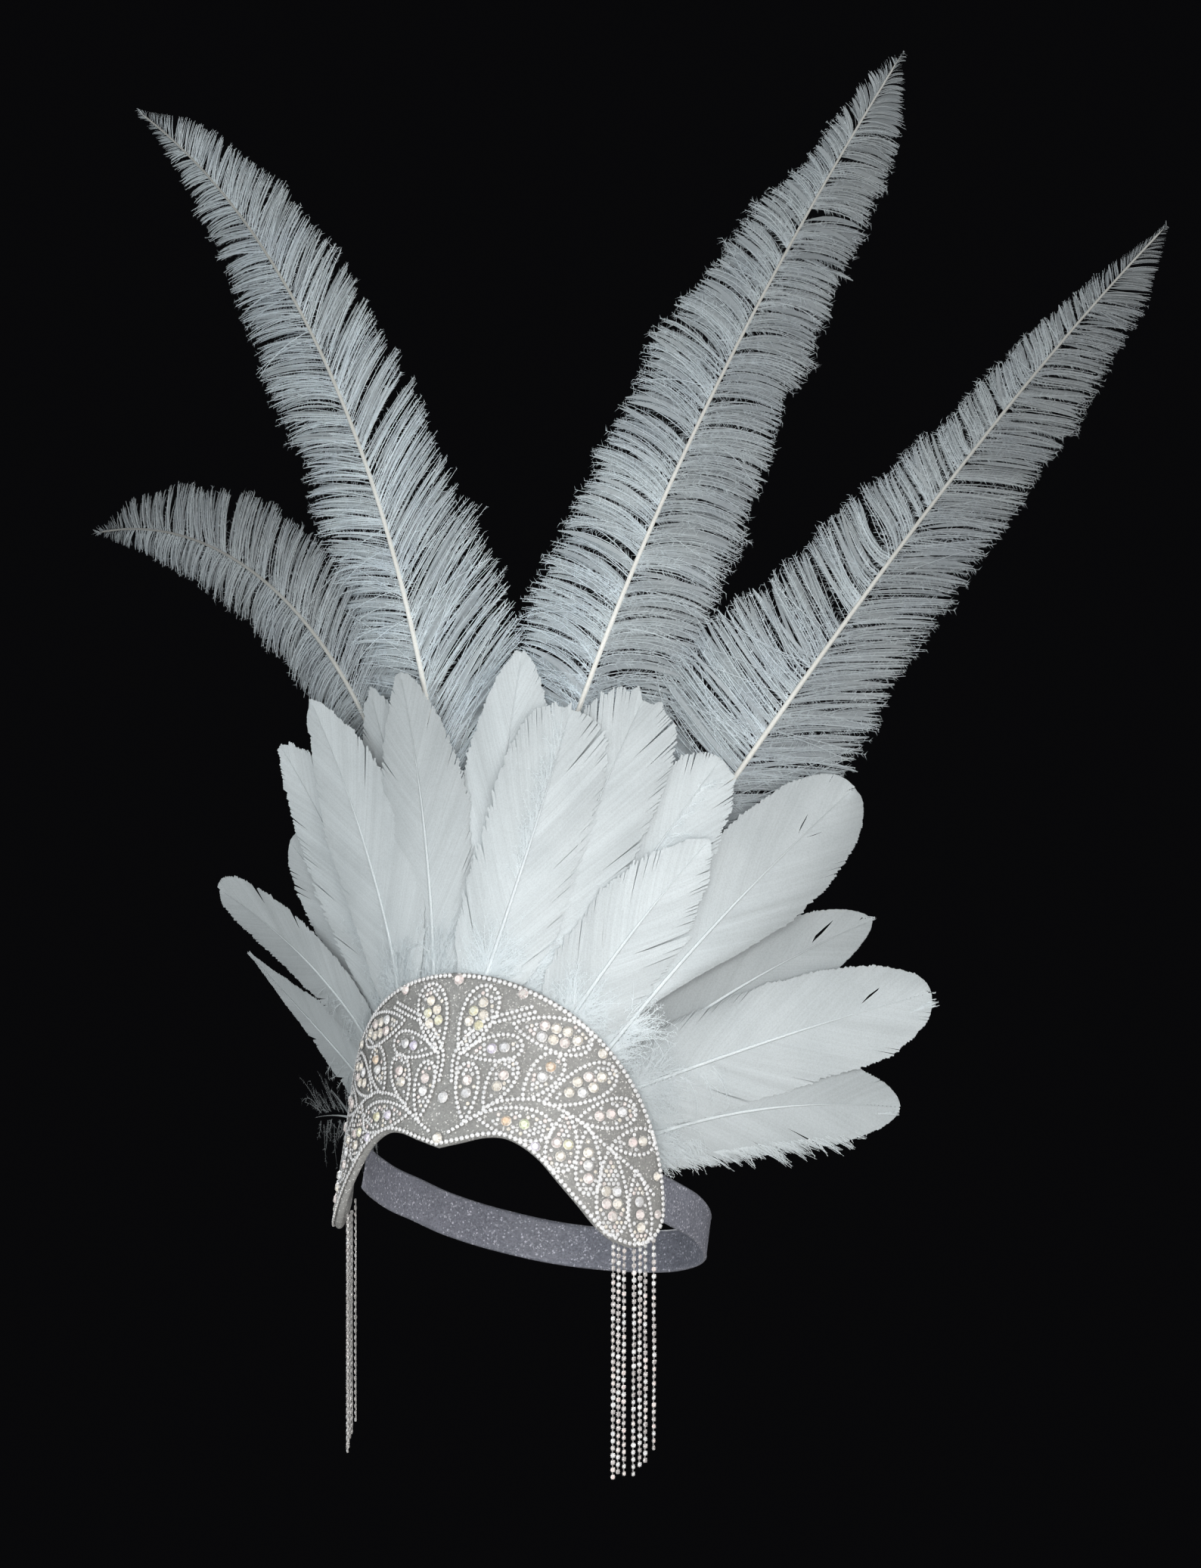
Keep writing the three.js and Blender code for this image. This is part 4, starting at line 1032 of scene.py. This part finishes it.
def fan_frames(across, up):
    """Places on the fan and the directions out of it, in the frame of the head."""
    near = 0.5
    beside = unit(fan_surface(across + near, up) - fan_surface(across - near, up))
    upward = unit(fan_surface(across, up + near) - fan_surface(across, up - near))
    return leaned(fan_surface(across, up)), leaned(unit(np.cross(beside, upward)))


def fan_polar(turn, reach):
    turn = math.radians(turn)
    return np.array([reach * math.sin(turn), reach * math.cos(turn) - DOME["drop"]])


def layer_depth(layer):
    return GAP + (layer + 0.5) * FAN["pitch"]


# Goose feathers

def vane_half_width(along, width, blunt, shape):
    opened = smoothstep(along, shape["open"], shape["full"]) ** shape["open_power"]
    past = np.clip((along - shape["close"]) / (1 - shape["close"]), 0, 1)
    closing = np.maximum(0, 1 - past**blunt) ** (1 / blunt)
    return np.maximum(VANE["quill"] / 2, width / 2 * opened * closing)


class GooseFeather:
    """A goose feather's shaft on the fan, and where its barbs lie beside it."""

    def __init__(self, row):
        self.spec = dict(zip(GOOSE_COLUMNS, row))
        self.start = fan_polar(self.spec["root"], FAN["root"])
        self.end = fan_polar(self.spec["turn"], self.spec["reach"])
        chord = self.end - self.start
        beside = unit(np.array([chord[1], -chord[0]]))
        self.bend = (self.start + self.end) / 2 - 2 * self.spec["bow"] * beside
        self.length = line_length(self.shaft(np.linspace(0, 1, 60)))

    def shaft(self, along):
        t = np.asarray(along)[..., None]
        return (1 - t) ** 2 * self.start + 2 * t * (1 - t) * self.bend + t**2 * self.end

    def heading(self, along):
        t = np.asarray(along)[..., None]
        return unit(2 * (1 - t) * (self.bend - self.start) + 2 * t * (self.end - self.bend))

    def tone(self, along):
        """Painted shade: how bright the feather is painted at a share along the shaft, from its foot's to its
        tip's.
        """
        return lerp(self.spec["foot"], self.spec["tone"], smoothstep(along, *VANE["painted_shade_from"]))

    def place(self, along, aside, lift):
        """Points and outward directions at a share along the shaft and a distance beside it."""
        heading = self.heading(np.clip(along, 0, 1))
        beside = stack(heading[..., 1], -heading[..., 0])
        past = ((along - np.clip(along, 0, 1)) * self.length)[..., None]
        flat = self.shaft(np.clip(along, 0, 1)) + heading * past + beside * aside[..., None]
        surface, out = fan_frames(flat[..., 0], flat[..., 1])
        half = self.spec["width"] / 2
        camber = -VANE["camber"] * (aside / half) ** 2
        roll = math.tan(math.radians(self.spec["roll"])) * aside * smoothstep(along, *VANE["roll_from"])
        curl = self.spec["curl"] * np.clip((along - 0.55) / 0.45, 0, 1.2) ** 2
        depth = layer_depth(self.spec["layer"])
        return surface + out * (camber + roll + curl + lift - depth)[..., None], out


def barb_ends(feather, shape):
    """Shares along the shaft where barbs reach the edge of the vane, at even distances along the edge."""
    along = np.linspace(0.02, 1, 500)
    half = vane_half_width(along, feather.spec["width"], feather.spec["blunt"], shape)
    edge = stack(along * feather.length, half)
    count = int(line_length(edge) / VANE["pitch"])
    places = even(edge, count)
    return places[:, 0] / feather.length, places[:, 1]


def split_shift(feather_number, side, ends, out, length, rng, looseness):
    """How far barbs are pushed along the shaft where the vane has come apart."""
    shift = np.zeros_like(out)
    rows = [dict(zip(SPLIT_COLUMNS, row)) for row in SPLITS]
    rows = [row for row in rows if row["feather"] == feather_number and row["side"] == side]
    for along in rng.uniform(*LOOSE["along"], int(LOOSE["count"] * looseness)):
        gap = rng.uniform(*LOOSE["gaps"]) * looseness + LOOSE["least"]
        rows.append({"along": along, "gap": gap, "from": 1 - rng.uniform(*LOOSE["depths"]), "to": 1})
    for row in rows:
        away = (ends - row["along"])[:, None] * length
        fading = np.exp(-np.abs(away) / (LOOSE["push"] * row["gap"]))
        push = np.sign(away + 1e-6) * row["gap"] / 2 * fading
        opening = smoothstep(out, row["from"], 1.05)
        if row["to"] < 1:
            share = (out - row["from"]) / (row["to"] - row["from"])
            opening = np.sin(math.pi * np.clip(share, 0, 1)) ** 2
        shift += push * opening
    return shift


def add_vane(pile, feather, number, side, rng):
    """One side of a vane as overlapping barbs that leave the shaft and bend towards the tip."""
    spec = feather.spec
    shape = {**VANE_SHAPE, **ODD_SIDES.get((number, side), {})}
    ends, half = (values[::shape["thin"]] for values in barb_ends(feather, shape))
    count = len(ends)
    loose = min(1, 2 * spec["split"])
    run, single = UNEVEN["reach"]
    angle = lerp(VANE["root_angle"], VANE["tip_angle"], ends**2) + 2 * wander(rng, count, 30)
    roots = np.clip(ends - half / np.tan(np.radians(angle)) / feather.length, 0.0, VANE["last_root"])
    uneven = run * (1 + loose) * wander(rng, count, 12) + single * (1 + 2 * loose) * rng.normal(0, 1, count)
    half = half * (VANE["full"] + uneven)
    out = np.linspace(0, 1, VANE["steps"])[None, :]
    along = lerp(roots[:, None], ends[:, None], out ** VANE["sweep"])
    shift = split_shift(number, side, ends, out + 0 * along, feather.length, rng, spec["split"])
    fray = VANE["fray"] * spec["split"] * np.maximum(0, wander(rng, count, 5))
    fray = fray * lerp(0.1 * loose, 1, smoothstep(ends, 0.72, 0.98))
    along = along + shift / feather.length + fray[:, None] * out**2 / feather.length
    aside = side * half[:, None] * out
    run, single = UNEVEN["lift"]
    ripple = run * wander(rng, count, 18)[:, None] * out + single * rng.normal(0, 1, (count, 1)) * out**2
    middles, normals = feather.place(along, aside, ripple)
    ahead = unit(np.gradient(middles, axis=1))
    across = unit(np.cross(normals, ahead)) * side
    opened = loose * np.clip(0.4 + 0.45 * wander(rng, count, 14), 0.05, 1)
    softness = np.maximum(opened, 1 - smoothstep(ends, shape["soft"] - 0.15, shape["soft"] + 1e-6))
    width = lerp(np.interp(out, *CRISP_BARB), np.interp(out, *SOFT_BARB), softness[:, None])
    halves = across * (VANE["pitch"] * width)[..., None] + normals * VANE["tile"] * side
    run, single = UNEVEN["tone"]
    streak = 1 + run * wander(rng, count, 9)[:, None] + single * wander(rng, count, 40)[:, None]
    shade = lerp(0.95 - 0.05 * loose, 1.0, rng.random((count, 1))) * streak
    # Painted shade: the outer part of each barb is painted darker towards the edge, and the feather's painted
    # shade at foot and tip comes in below
    shade = shade * (1 - shape["painted_edge_shade"] * out**2)
    add_ribbons(pile, middles, halves, np.clip(shade * feather.tone(along), *VANE["tones"]))


def add_shaft(pile, feather):
    """The shaft of a goose feather, brighter than the vane at its foot and fading into it towards the tip."""
    along = np.linspace(0, SHAFT["end"], SHAFT["steps"])[None, :]
    fade = smoothstep(along, 0.5, 0.9)
    radii = lerp(*SHAFT["radii"], along**0.8) * (1 - 0.65 * fade)
    # The shaft carries half of the feather's painted shade at its foot and all of it towards the tip
    tint = lerp(SHAFT["tone"] * lerp(feather.tone(along), 1, 0.5), feather.tone(along), fade)
    middles, normals = feather.place(along, 0 * along, SHAFT["lift"] + 0 * along)
    add_quill(pile, middles, normals, radii, 6, SHAFT["flat"], tint)


def add_down(pile, feather, side, rng, row):
    """Loose downy barbs beside the shaft, each with fine hairs. Barbs of a bunch meet in a point."""
    tuft = dict(zip(DOWN_COLUMNS, row))
    steps = DOWN_SHAPE["steps"]
    count = tuft["count"]
    pointed = int(tuft["bunch"] > 1)
    bunch = np.arange(count) // tuft["bunch"]
    bunches = bunch[-1] + 1
    centre = rng.uniform(tuft["from"], tuft["to"], bunches)[bunch]
    root = centre + pointed * DOWN_SHAPE["spread"] * rng.normal(0, 1, count) / feather.length
    length = rng.uniform(*DOWN_SHAPE["lengths"], bunches)[bunch] * tuft["length"]
    length = length * (1 - DOWN_SHAPE["shorter"] * pointed * rng.random(count))
    angle = np.radians(rng.uniform(*tuft["angles"], bunches)[bunch])
    bend = np.radians(rng.normal(DOWN_SHAPE["droop"], DOWN_SHAPE["bend"][pointed], count))
    out = np.linspace(0, 1, steps)[None, :]
    turn = angle[:, None] + bend[:, None] * out
    step = length[:, None] / (steps - 1)
    along = root[:, None] + np.cumsum(np.cos(turn) * step, axis=1) / feather.length
    along = along + (centre - root)[:, None] * out
    half = vane_half_width(root, feather.spec["width"], feather.spec["blunt"], VANE_SHAPE)
    aside = side * (tuft["start"] * half[:, None] + np.cumsum(np.sin(turn) * step, axis=1))
    lift = (tuft["lift"] + rng.normal(0, DOWN_SHAPE["lift"], (count, 1))) * out**0.7
    middles, normals = feather.place(along, aside, lift)
    ahead = unit(np.gradient(middles, axis=1))
    across = unit(np.cross(normals, ahead))
    halves = across * lerp(DOWN_SHAPE["half"][pointed], DOWN_SHAPE["tip_half"], out)[..., None]
    # The down carries the feather's painted shade, lifted by painted light against the shade its own hairs
    # cast
    add_ribbons(pile, middles, halves, DOWN_SHAPE["tone"] * feather.tone(along))
    hair = DOWN_SHAPE["hair"][pointed]
    tint = DOWN_SHAPE["tone"] * feather.tone(root)[:, None]
    hairs, width = DOWN_SHAPE["hairs"], DOWN_SHAPE["hair_width"]
    add_barbules(pile, rng, middles, ahead, across, normals, hairs, hair, width, tint)


def add_barbules(pile, rng, middles, ahead, across, normals, count, length, width, tint):
    """Fine hairs on both sides of each barb, most of them past its foot."""
    strands, steps, _ = middles.shape
    place = (0.02 + 0.98 * rng.random((strands, count)) ** HAIR["crowd"]) * (steps - 1.001)
    low = place.astype(int)
    share = (place - low)[..., None]
    row = np.arange(strands)[:, None]

    def at(values):
        return lerp(values[row, low], values[row, low + 1], share)

    side = np.where(np.arange(count) % 2, 1.0, -1.0)[None, :, None]
    lean = rng.uniform(*HAIR["leans"], (strands, count, 1))
    rise = rng.normal(0, HAIR["rise"], (strands, count, 1))
    taper = 1 - HAIR["tip_shorter"] * (place / steps)[..., None] ** 3
    reach = length * rng.uniform(*HAIR["lengths"], (strands, count, 1)) * taper
    foot = at(middles)
    forward = at(ahead)
    tip = foot + unit(forward * lean + at(across) * side + at(normals) * rise) * reach
    points = np.stack([foot - forward * width / 2, foot + forward * width / 2, tip], axis=2)
    faces = np.arange(strands * count * 3).reshape(-1, 3)
    pile.add(points, faces, np.repeat(np.broadcast_to(tint, (strands, count)).ravel(), 3))


def make_goose(number, row, material):
    rng = np.random.default_rng(SEEDS["goose"] + number)
    feather = GooseFeather(row)
    pile = Pile()
    for side in (-1, 1):
        add_vane(pile, feather, number, side, rng)
        add_down(pile, feather, side, rng, FOOT_DOWN)
        for tuft in DOWN:
            if tuft[:2] == (number, side):
                add_down(pile, feather, side, rng, tuft)
    add_shaft(pile, feather)
    return make_piece(f"goose_feather_{number:02d}", pile, [material])


# Ostrich plumes

class PlumeTrack:
    """An ostrich plume's shaft as a flat track on the fan."""

    def __init__(self, spec):
        self.spec = spec
        middle = (np.arange(PLUME["track"]) + 0.5) / PLUME["track"]
        angle = self.heading(middle)
        step = spec["length"] / PLUME["track"]
        walk = np.cumsum(stack(np.sin(angle), np.cos(angle)) * step, axis=0)
        self.track = np.concatenate([[spec["root"]], np.array(spec["root"]) + walk])
        self.shares = np.linspace(0, 1, PLUME["track"] + 1)

    def heading(self, along):
        along = np.clip(along, 0, 1)
        return np.radians(self.spec["lean"] + self.spec["curl"] * along ** self.spec["power"])

    def at(self, along):
        return stack(*(np.interp(along, self.shares, column) for column in self.track.T))


class Clumps:
    """The clumps of one side of a plume, shared by its coats."""

    def __init__(self, rng, length):
        count = int(length / CLUMP["widths"][0])
        wide = np.where(rng.random(count) < CLUMP["wide_share"], CLUMP["wider"], 1)
        self.widths = rng.uniform(*CLUMP["widths"], count) * wide
        self.centres = np.cumsum(self.widths) - self.widths / 2
        self.strength = rng.uniform(*CLUMP["strengths"], count)
        self.reach = CLUMP["reach"] * rng.normal(0, 1, count)
        self.slant = rng.normal(0, 1, count)
        self.lift = CLUMP["lift"] * rng.normal(0, 1, count)
        self.closing = rng.uniform(*CLUMP["closing"], count)
        self.tone = 1 + CLUMP["tone"] * rng.normal(0, 1, count)

    def nearest(self, places):
        return np.clip(np.searchsorted(np.cumsum(self.widths), places), 0, len(self.widths) - 1)


def gap_push(gaps, places, out, length):
    """How far gaps push the barbs of a side along the shaft: most near their middle, less at their ends."""
    push = np.zeros((len(places), out.shape[1]))
    for along, width in gaps:
        away = (places - along * length)[:, None]
        opened = np.sin(math.pi * np.clip(out, 0, 0.8) ** 0.7)
        push += np.sign(away + 1e-6) * width / 2 * np.exp(-np.abs(away) / (3 * width)) * opened
    return push


def barb_lines(track, side, rows, coat, clumps, rng):
    """Where the barbs of one coat on one side of a plume lie, drawn together in clumps with slits between."""
    spec = track.spec
    length = spec["length"]
    count = int(length * (1 - PLUME["bare"]) / coat["pitch"])
    ends = np.linspace(PLUME["bare"] + 0.02, 1.0, count) + rng.normal(0, 0.2, count) * coat["pitch"] / length
    foot = 1 - smoothstep(ends, 0.28, 0.55)
    wool = spec["wool"] + PLUME["foot_wool"] * foot

    def spread(name):
        base, woolly = SPREAD[name]
        return base + woolly * wool

    clump = clumps.nearest(ends * length)
    aim = clumps.centres[clump] - ends * length
    tuft = CLUMP["tuft"] * (0.5 - np.abs(aim) / clumps.widths[clump])
    stray = rng.random(count) < (PLUME["stray"] + PLUME["foot_stray"] * foot) * ("hairs" in coat)
    single, run = PLUME["ragged"]
    ragged = clumps.reach[clump] + tuft + single * rng.normal(0, 1, count) + run * wander(rng, count, 24)
    reach = coat["reach"] * np.interp(ends, rows["along"], rows["reach"]) * (1 + ragged)
    reach = reach * lerp(1, PLUME["tip_thin"], smoothstep(ends, 0.93, 1.0))
    slant = np.interp(ends, PLUME["slant_at"], rows["slant"])
    slant = slant + PLUME["tip_slant"] * smoothstep(ends, 0.9, 1.0)
    slant = slant + spread("clump_slant") * clumps.slant[clump] + spread("slant") * rng.normal(0, 1, count)
    slant = np.minimum(slant + stray * rng.uniform(*PLUME["stray_turn"], count), PLUME["steepest"])
    bend = rows["bend"] + spread("bend_wave") * wander(rng, count, 30)
    bend = bend + spread("bend") * rng.normal(0, 1, count)
    out = np.linspace(0, 1, coat["steps"])[None, :]
    middle = (out[:, 1:] + out[:, :-1]) / 2
    angle = np.radians(slant[:, None] + bend[:, None] * (1 - 2 * middle))
    span = reach[:, None] / np.cos(angle).mean(axis=1, keepdims=True) / (coat["steps"] - 1)
    start = np.zeros((count, 1))
    aside = np.concatenate([start, np.cumsum(np.cos(angle) * span, axis=1)], axis=1)
    ahead = np.concatenate([start, np.cumsum(np.sin(angle) * span, axis=1)], axis=1)
    roots = np.clip(ends - ahead[:, -1] / length, PLUME["bare"] * 0.8, 0.998)
    closing = clumps.closing[clump][:, None]
    opening = lerp(out**1.6, np.sin(math.pi * np.clip((out - 0.2) / 0.8, 0, 1)) ** 1.2, closing)
    pull = (aim * clumps.strength[clump] * np.minimum(1, reach / 16))[:, None]
    ahead = ahead + pull * opening + gap_push(rows["gaps"], ends * length, out, length)
    heading = track.heading(roots)[:, None]
    forward = stack(np.sin(heading), np.cos(heading))
    beside = stack(np.cos(heading), -np.sin(heading)) * side
    flat = track.at(roots)[:, None] + forward * ahead[..., None] + beside * aside[..., None]
    surface, normals = fan_frames(flat[..., 0], flat[..., 1])
    loose = clumps.lift[clump][:, None] + (spread("lift") * rng.normal(0, 1, count))[:, None]
    lift = (loose + PLUME["stray_lift"] * stray[:, None]) * out
    lift = lift - PLUME["arch"] * out**2 * reach[:, None] / 40 - coat["depth"] * np.minimum(1, 4 * out)
    middles = surface + normals * (lift - layer_depth(spec["layer"]))[..., None]
    along = unit(np.gradient(middles, axis=1))
    across = unit(np.cross(normals, along))
    # Painted light and shade: the coat's tone darkens the deeper coats, the side's and the plume's tones
    # paint the light and shade they are in, and the plume is painted dimmer towards its tip; clumps and
    # single barbs differ at random
    tone = coat["tone"] * rows["tone"] * spec["shade"] * clumps.tone[clump]
    tone = tone * (1 - spec["painted_tip_shade"] * smoothstep(ends, 0.25, 1.0))
    tone = tone * lerp(*PLUME["tones"], rng.random(count))
    # Painted shade at each barb's root, beside the rachis
    shade = tone[:, None] * lerp(PLUME["painted_root_shade"], 1.0, out)
    return {"middles": middles, "along": along, "across": across, "normals": normals, "out": out,
            "ends": ends, "reach": reach, "wool": wool, "shade": shade}


def add_film(pile, lines, coat):
    """Flat soft barbs that fill the plume behind its strands, narrow beside the shaft and at their ends."""
    half = lerp(*coat["half"], np.clip(lines["wool"], 0, 1)) * np.clip(lines["reach"] / 10, 0.3, 1)
    profile = np.interp(lines["out"], *FILM_SHAPE)
    open_root = np.interp(lines["out"], *OPEN_FILM)
    profile = profile * lerp(1, open_root, smoothstep(lines["ends"], 0.35, 0.6)[:, None])
    halves = lines["across"] * (half[:, None] * profile)[..., None]
    add_ribbons(pile, lines["middles"], halves, lines["shade"])


def add_strands(pile, lines, coat, rng):
    """Round barbs, with fine hairs on all but those at the plume's tip."""
    thin = np.clip(lines["reach"] / 12, 0.3, 1)[:, None]
    radii = np.interp(lines["out"], [0, 0.45, 1], coat["radii"]) * thin
    add_tubes(pile, lines["middles"], lines["across"], lines["normals"], radii, 3, lines["shade"])
    hairy = lines["ends"] < PLUME["hairless"]
    fade = 1 - smoothstep(lines["ends"], 0.75, 1.0)
    length = (HAIR["length"] + HAIR["woolly"] * lines["wool"]) * np.clip(lines["reach"] / 14, 0.12, 1)
    length = (length * lerp(0.3, 1, fade))[hairy, None, None]
    directions = [lines[name][hairy] for name in ("middles", "along", "across", "normals")]
    add_barbules(pile, rng, *directions, coat["hairs"], length, HAIR["width"], lines["shade"][hairy, -1:])


def add_rachis(pile, track):
    """The pale shaft of a plume, with painted shade that greys it towards its tip, and the plume's painted
    light and shade on it.
    """
    along = np.linspace(0, 0.995, PLUME["rachis_steps"])[None, :]
    flat = track.at(along)
    surface, normals = fan_frames(flat[..., 0], flat[..., 1])
    middles = surface - normals * layer_depth(track.spec["layer"])
    radii = lerp(*PLUME["rachis"], along**0.9)
    tint = track.spec["shade"] * lerp(*PLUME["painted_rachis_shade"], smoothstep(along, 0.3, 0.85))
    add_quill(pile, middles, normals, radii, 8, 1.0, tint, material=1)


def make_plume(name, tables, materials, seed):
    rng = np.random.default_rng(seed)
    spec = dict(zip(PLUME_COLUMNS, tables["shaft"]))
    track = PlumeTrack(spec)
    pile = Pile()
    for side, edge in ((-1, "right"), (1, "left")):
        rows = dict(zip(SIDE_COLUMNS, tables[edge]))
        clumps = Clumps(rng, spec["length"])
        add_film(pile, barb_lines(track, side, rows, FILM, clumps, rng), FILM)
        for coat in (UNDERCOAT, COAT):
            add_strands(pile, barb_lines(track, side, rows, coat, clumps, rng), coat, rng)
    add_rachis(pile, track)
    return make_piece(name, pile, materials)


# Stage: camera, soft lights and a plain pale floor well below the fringes

def add_to_scene(name, data):
    item = bpy.data.objects.new(name, data)
    bpy.context.scene.collection.objects.link(item)
    return item


def add_camera():
    data = bpy.data.cameras.new("camera")
    data.sensor_width = CAMERA["sensor"]
    data.lens = CAMERA["sensor"] * CAMERA["focal_px"] / CAMERA["frame_px"]
    data.clip_start, data.clip_end = CAMERA["clip"]
    camera = add_to_scene("camera", data)
    camera.location = CAMERA["place"]
    camera.rotation_euler = (math.pi / 2, 0, math.radians(CAMERA["azimuth"]))
    bpy.context.scene.camera = camera


# Soft lights, in metres, degrees and watts. The panel's light is narrow, so that it fades over the feathers.
FEATHERS = (0, -0.02, 0.12)
LIGHT_COLUMNS = ("name", "place", "target", "size", "spread", "power", "colour")
LIGHTS = [
    ("key", (0.9, -1.15, 0.3), FEATHERS, 1.4, 180, 21, (1.0, 0.99, 0.97)),
    ("fill", (-0.75, -1.3, 0.3), FEATHERS, 1.4, 180, 9, (0.94, 0.99, 1.0)),
    ("back_left", (-1.1, 1.1, 0.7), FEATHERS, 0.9, 180, 8, (0.95, 0.97, 1.0)),
    ("back_right", (1.2, 1.0, 0.7), FEATHERS, 0.9, 180, 8, (1.0, 0.98, 0.95)),
    ("panel", (0.5, -1.0, 0.02), (0.03, -0.07, 0.02), 0.25, 26, 0.03, (1.0, 0.98, 0.96)),
]
SKY = (0.0026, 0.0026, 0.003, 1)


def add_lights():
    for row in LIGHTS:
        spec = dict(zip(LIGHT_COLUMNS, row))
        data = bpy.data.lights.new(spec["name"], "AREA")
        data.shape = "DISK"
        data.size = spec["size"]
        data.spread = math.radians(spec["spread"])
        data.energy = spec["power"]
        data.color = spec["colour"]
        light = add_to_scene(spec["name"], data)
        light.location = spec["place"]
        toward = np.array(spec["target"]) - np.array(spec["place"])
        yaw = math.atan2(toward[1], toward[0]) - math.pi / 2
        pitch = math.atan2(toward[2], math.hypot(toward[0], toward[1]))
        light.rotation_euler = (math.pi / 2 + pitch, 0, yaw)
    world = bpy.data.worlds.new("studio")
    world.use_nodes = True
    world.node_tree.nodes["Background"].inputs["Color"].default_value = SKY
    bpy.context.scene.world = world


# Floor, in metres
FLOOR = {"radius": 0.85, "height": -0.36, "sides": 96}


def add_floor():
    mesh = bpy.data.meshes.new("floor")
    points = circle(FLOOR["sides"], FLOOR["radius"], FLOOR["height"])
    mesh.from_pydata(points.tolist(), [], [list(range(FLOOR["sides"]))])
    surface = Surface("pale_floor", Roughness=0.8)
    cloud = surface.texture("Noise", Scale=6.0, Detail=4.0)["Fac"]
    surface.link(surface.ramp(cloud, (0.3, (0.62, 0.61, 0.60)), (0.7, (0.68, 0.67, 0.66))), "Base Color")
    mesh.materials.append(surface.material)
    add_to_scene("floor", mesh)


def build():
    add_camera()
    add_lights()
    add_floor()
    goose = feather_material("goose_barbs", (0.69, 0.75, 0.78), (0.74, 0.80, 0.83), 0.25)
    ostrich = feather_material("ostrich_barbs", (0.77, 0.86, 0.93), (0.86, 0.95, 1.0), 0.3)
    rachis = feather_material("rachis_ivory", (0.83, 0.83, 0.79), (0.90, 0.91, 0.88), 0.05)
    jewels = [stone_material(), setting_material()]
    cloth = glitter_material(
        "glitter_cloth", (0.27, 0.27, 0.265), (0.36, 0.36, 0.352), (0.85, 0.84, 0.83), 1900.0)
    knit = glitter_material(
        "glitter_elastic", (0.17, 0.18, 0.22), (0.29, 0.30, 0.36), (0.7, 0.7, 0.8), 1500.0)
    make_panel(cloth)
    make_border(jewels)
    make_spray("leaf_spray_left", 1, jewels)
    make_spray("leaf_spray_right", -1, jewels)
    make_heart(jewels)
    make_fringe("fringe_left", 1, jewels)
    make_fringe("fringe_right", -1, jewels)
    make_strap(knit)
    for number, row in enumerate(GOOSE, start=1):
        make_goose(number, row, goose)
    for seed, (name, tables) in enumerate(PLUMES.items(), start=SEEDS["first_plume"]):
        make_plume(name, tables, [ostrich, rachis], seed)
    bpy.context.scene.view_settings.view_transform = "Standard"


build()
bpy.context.view_layer.update()
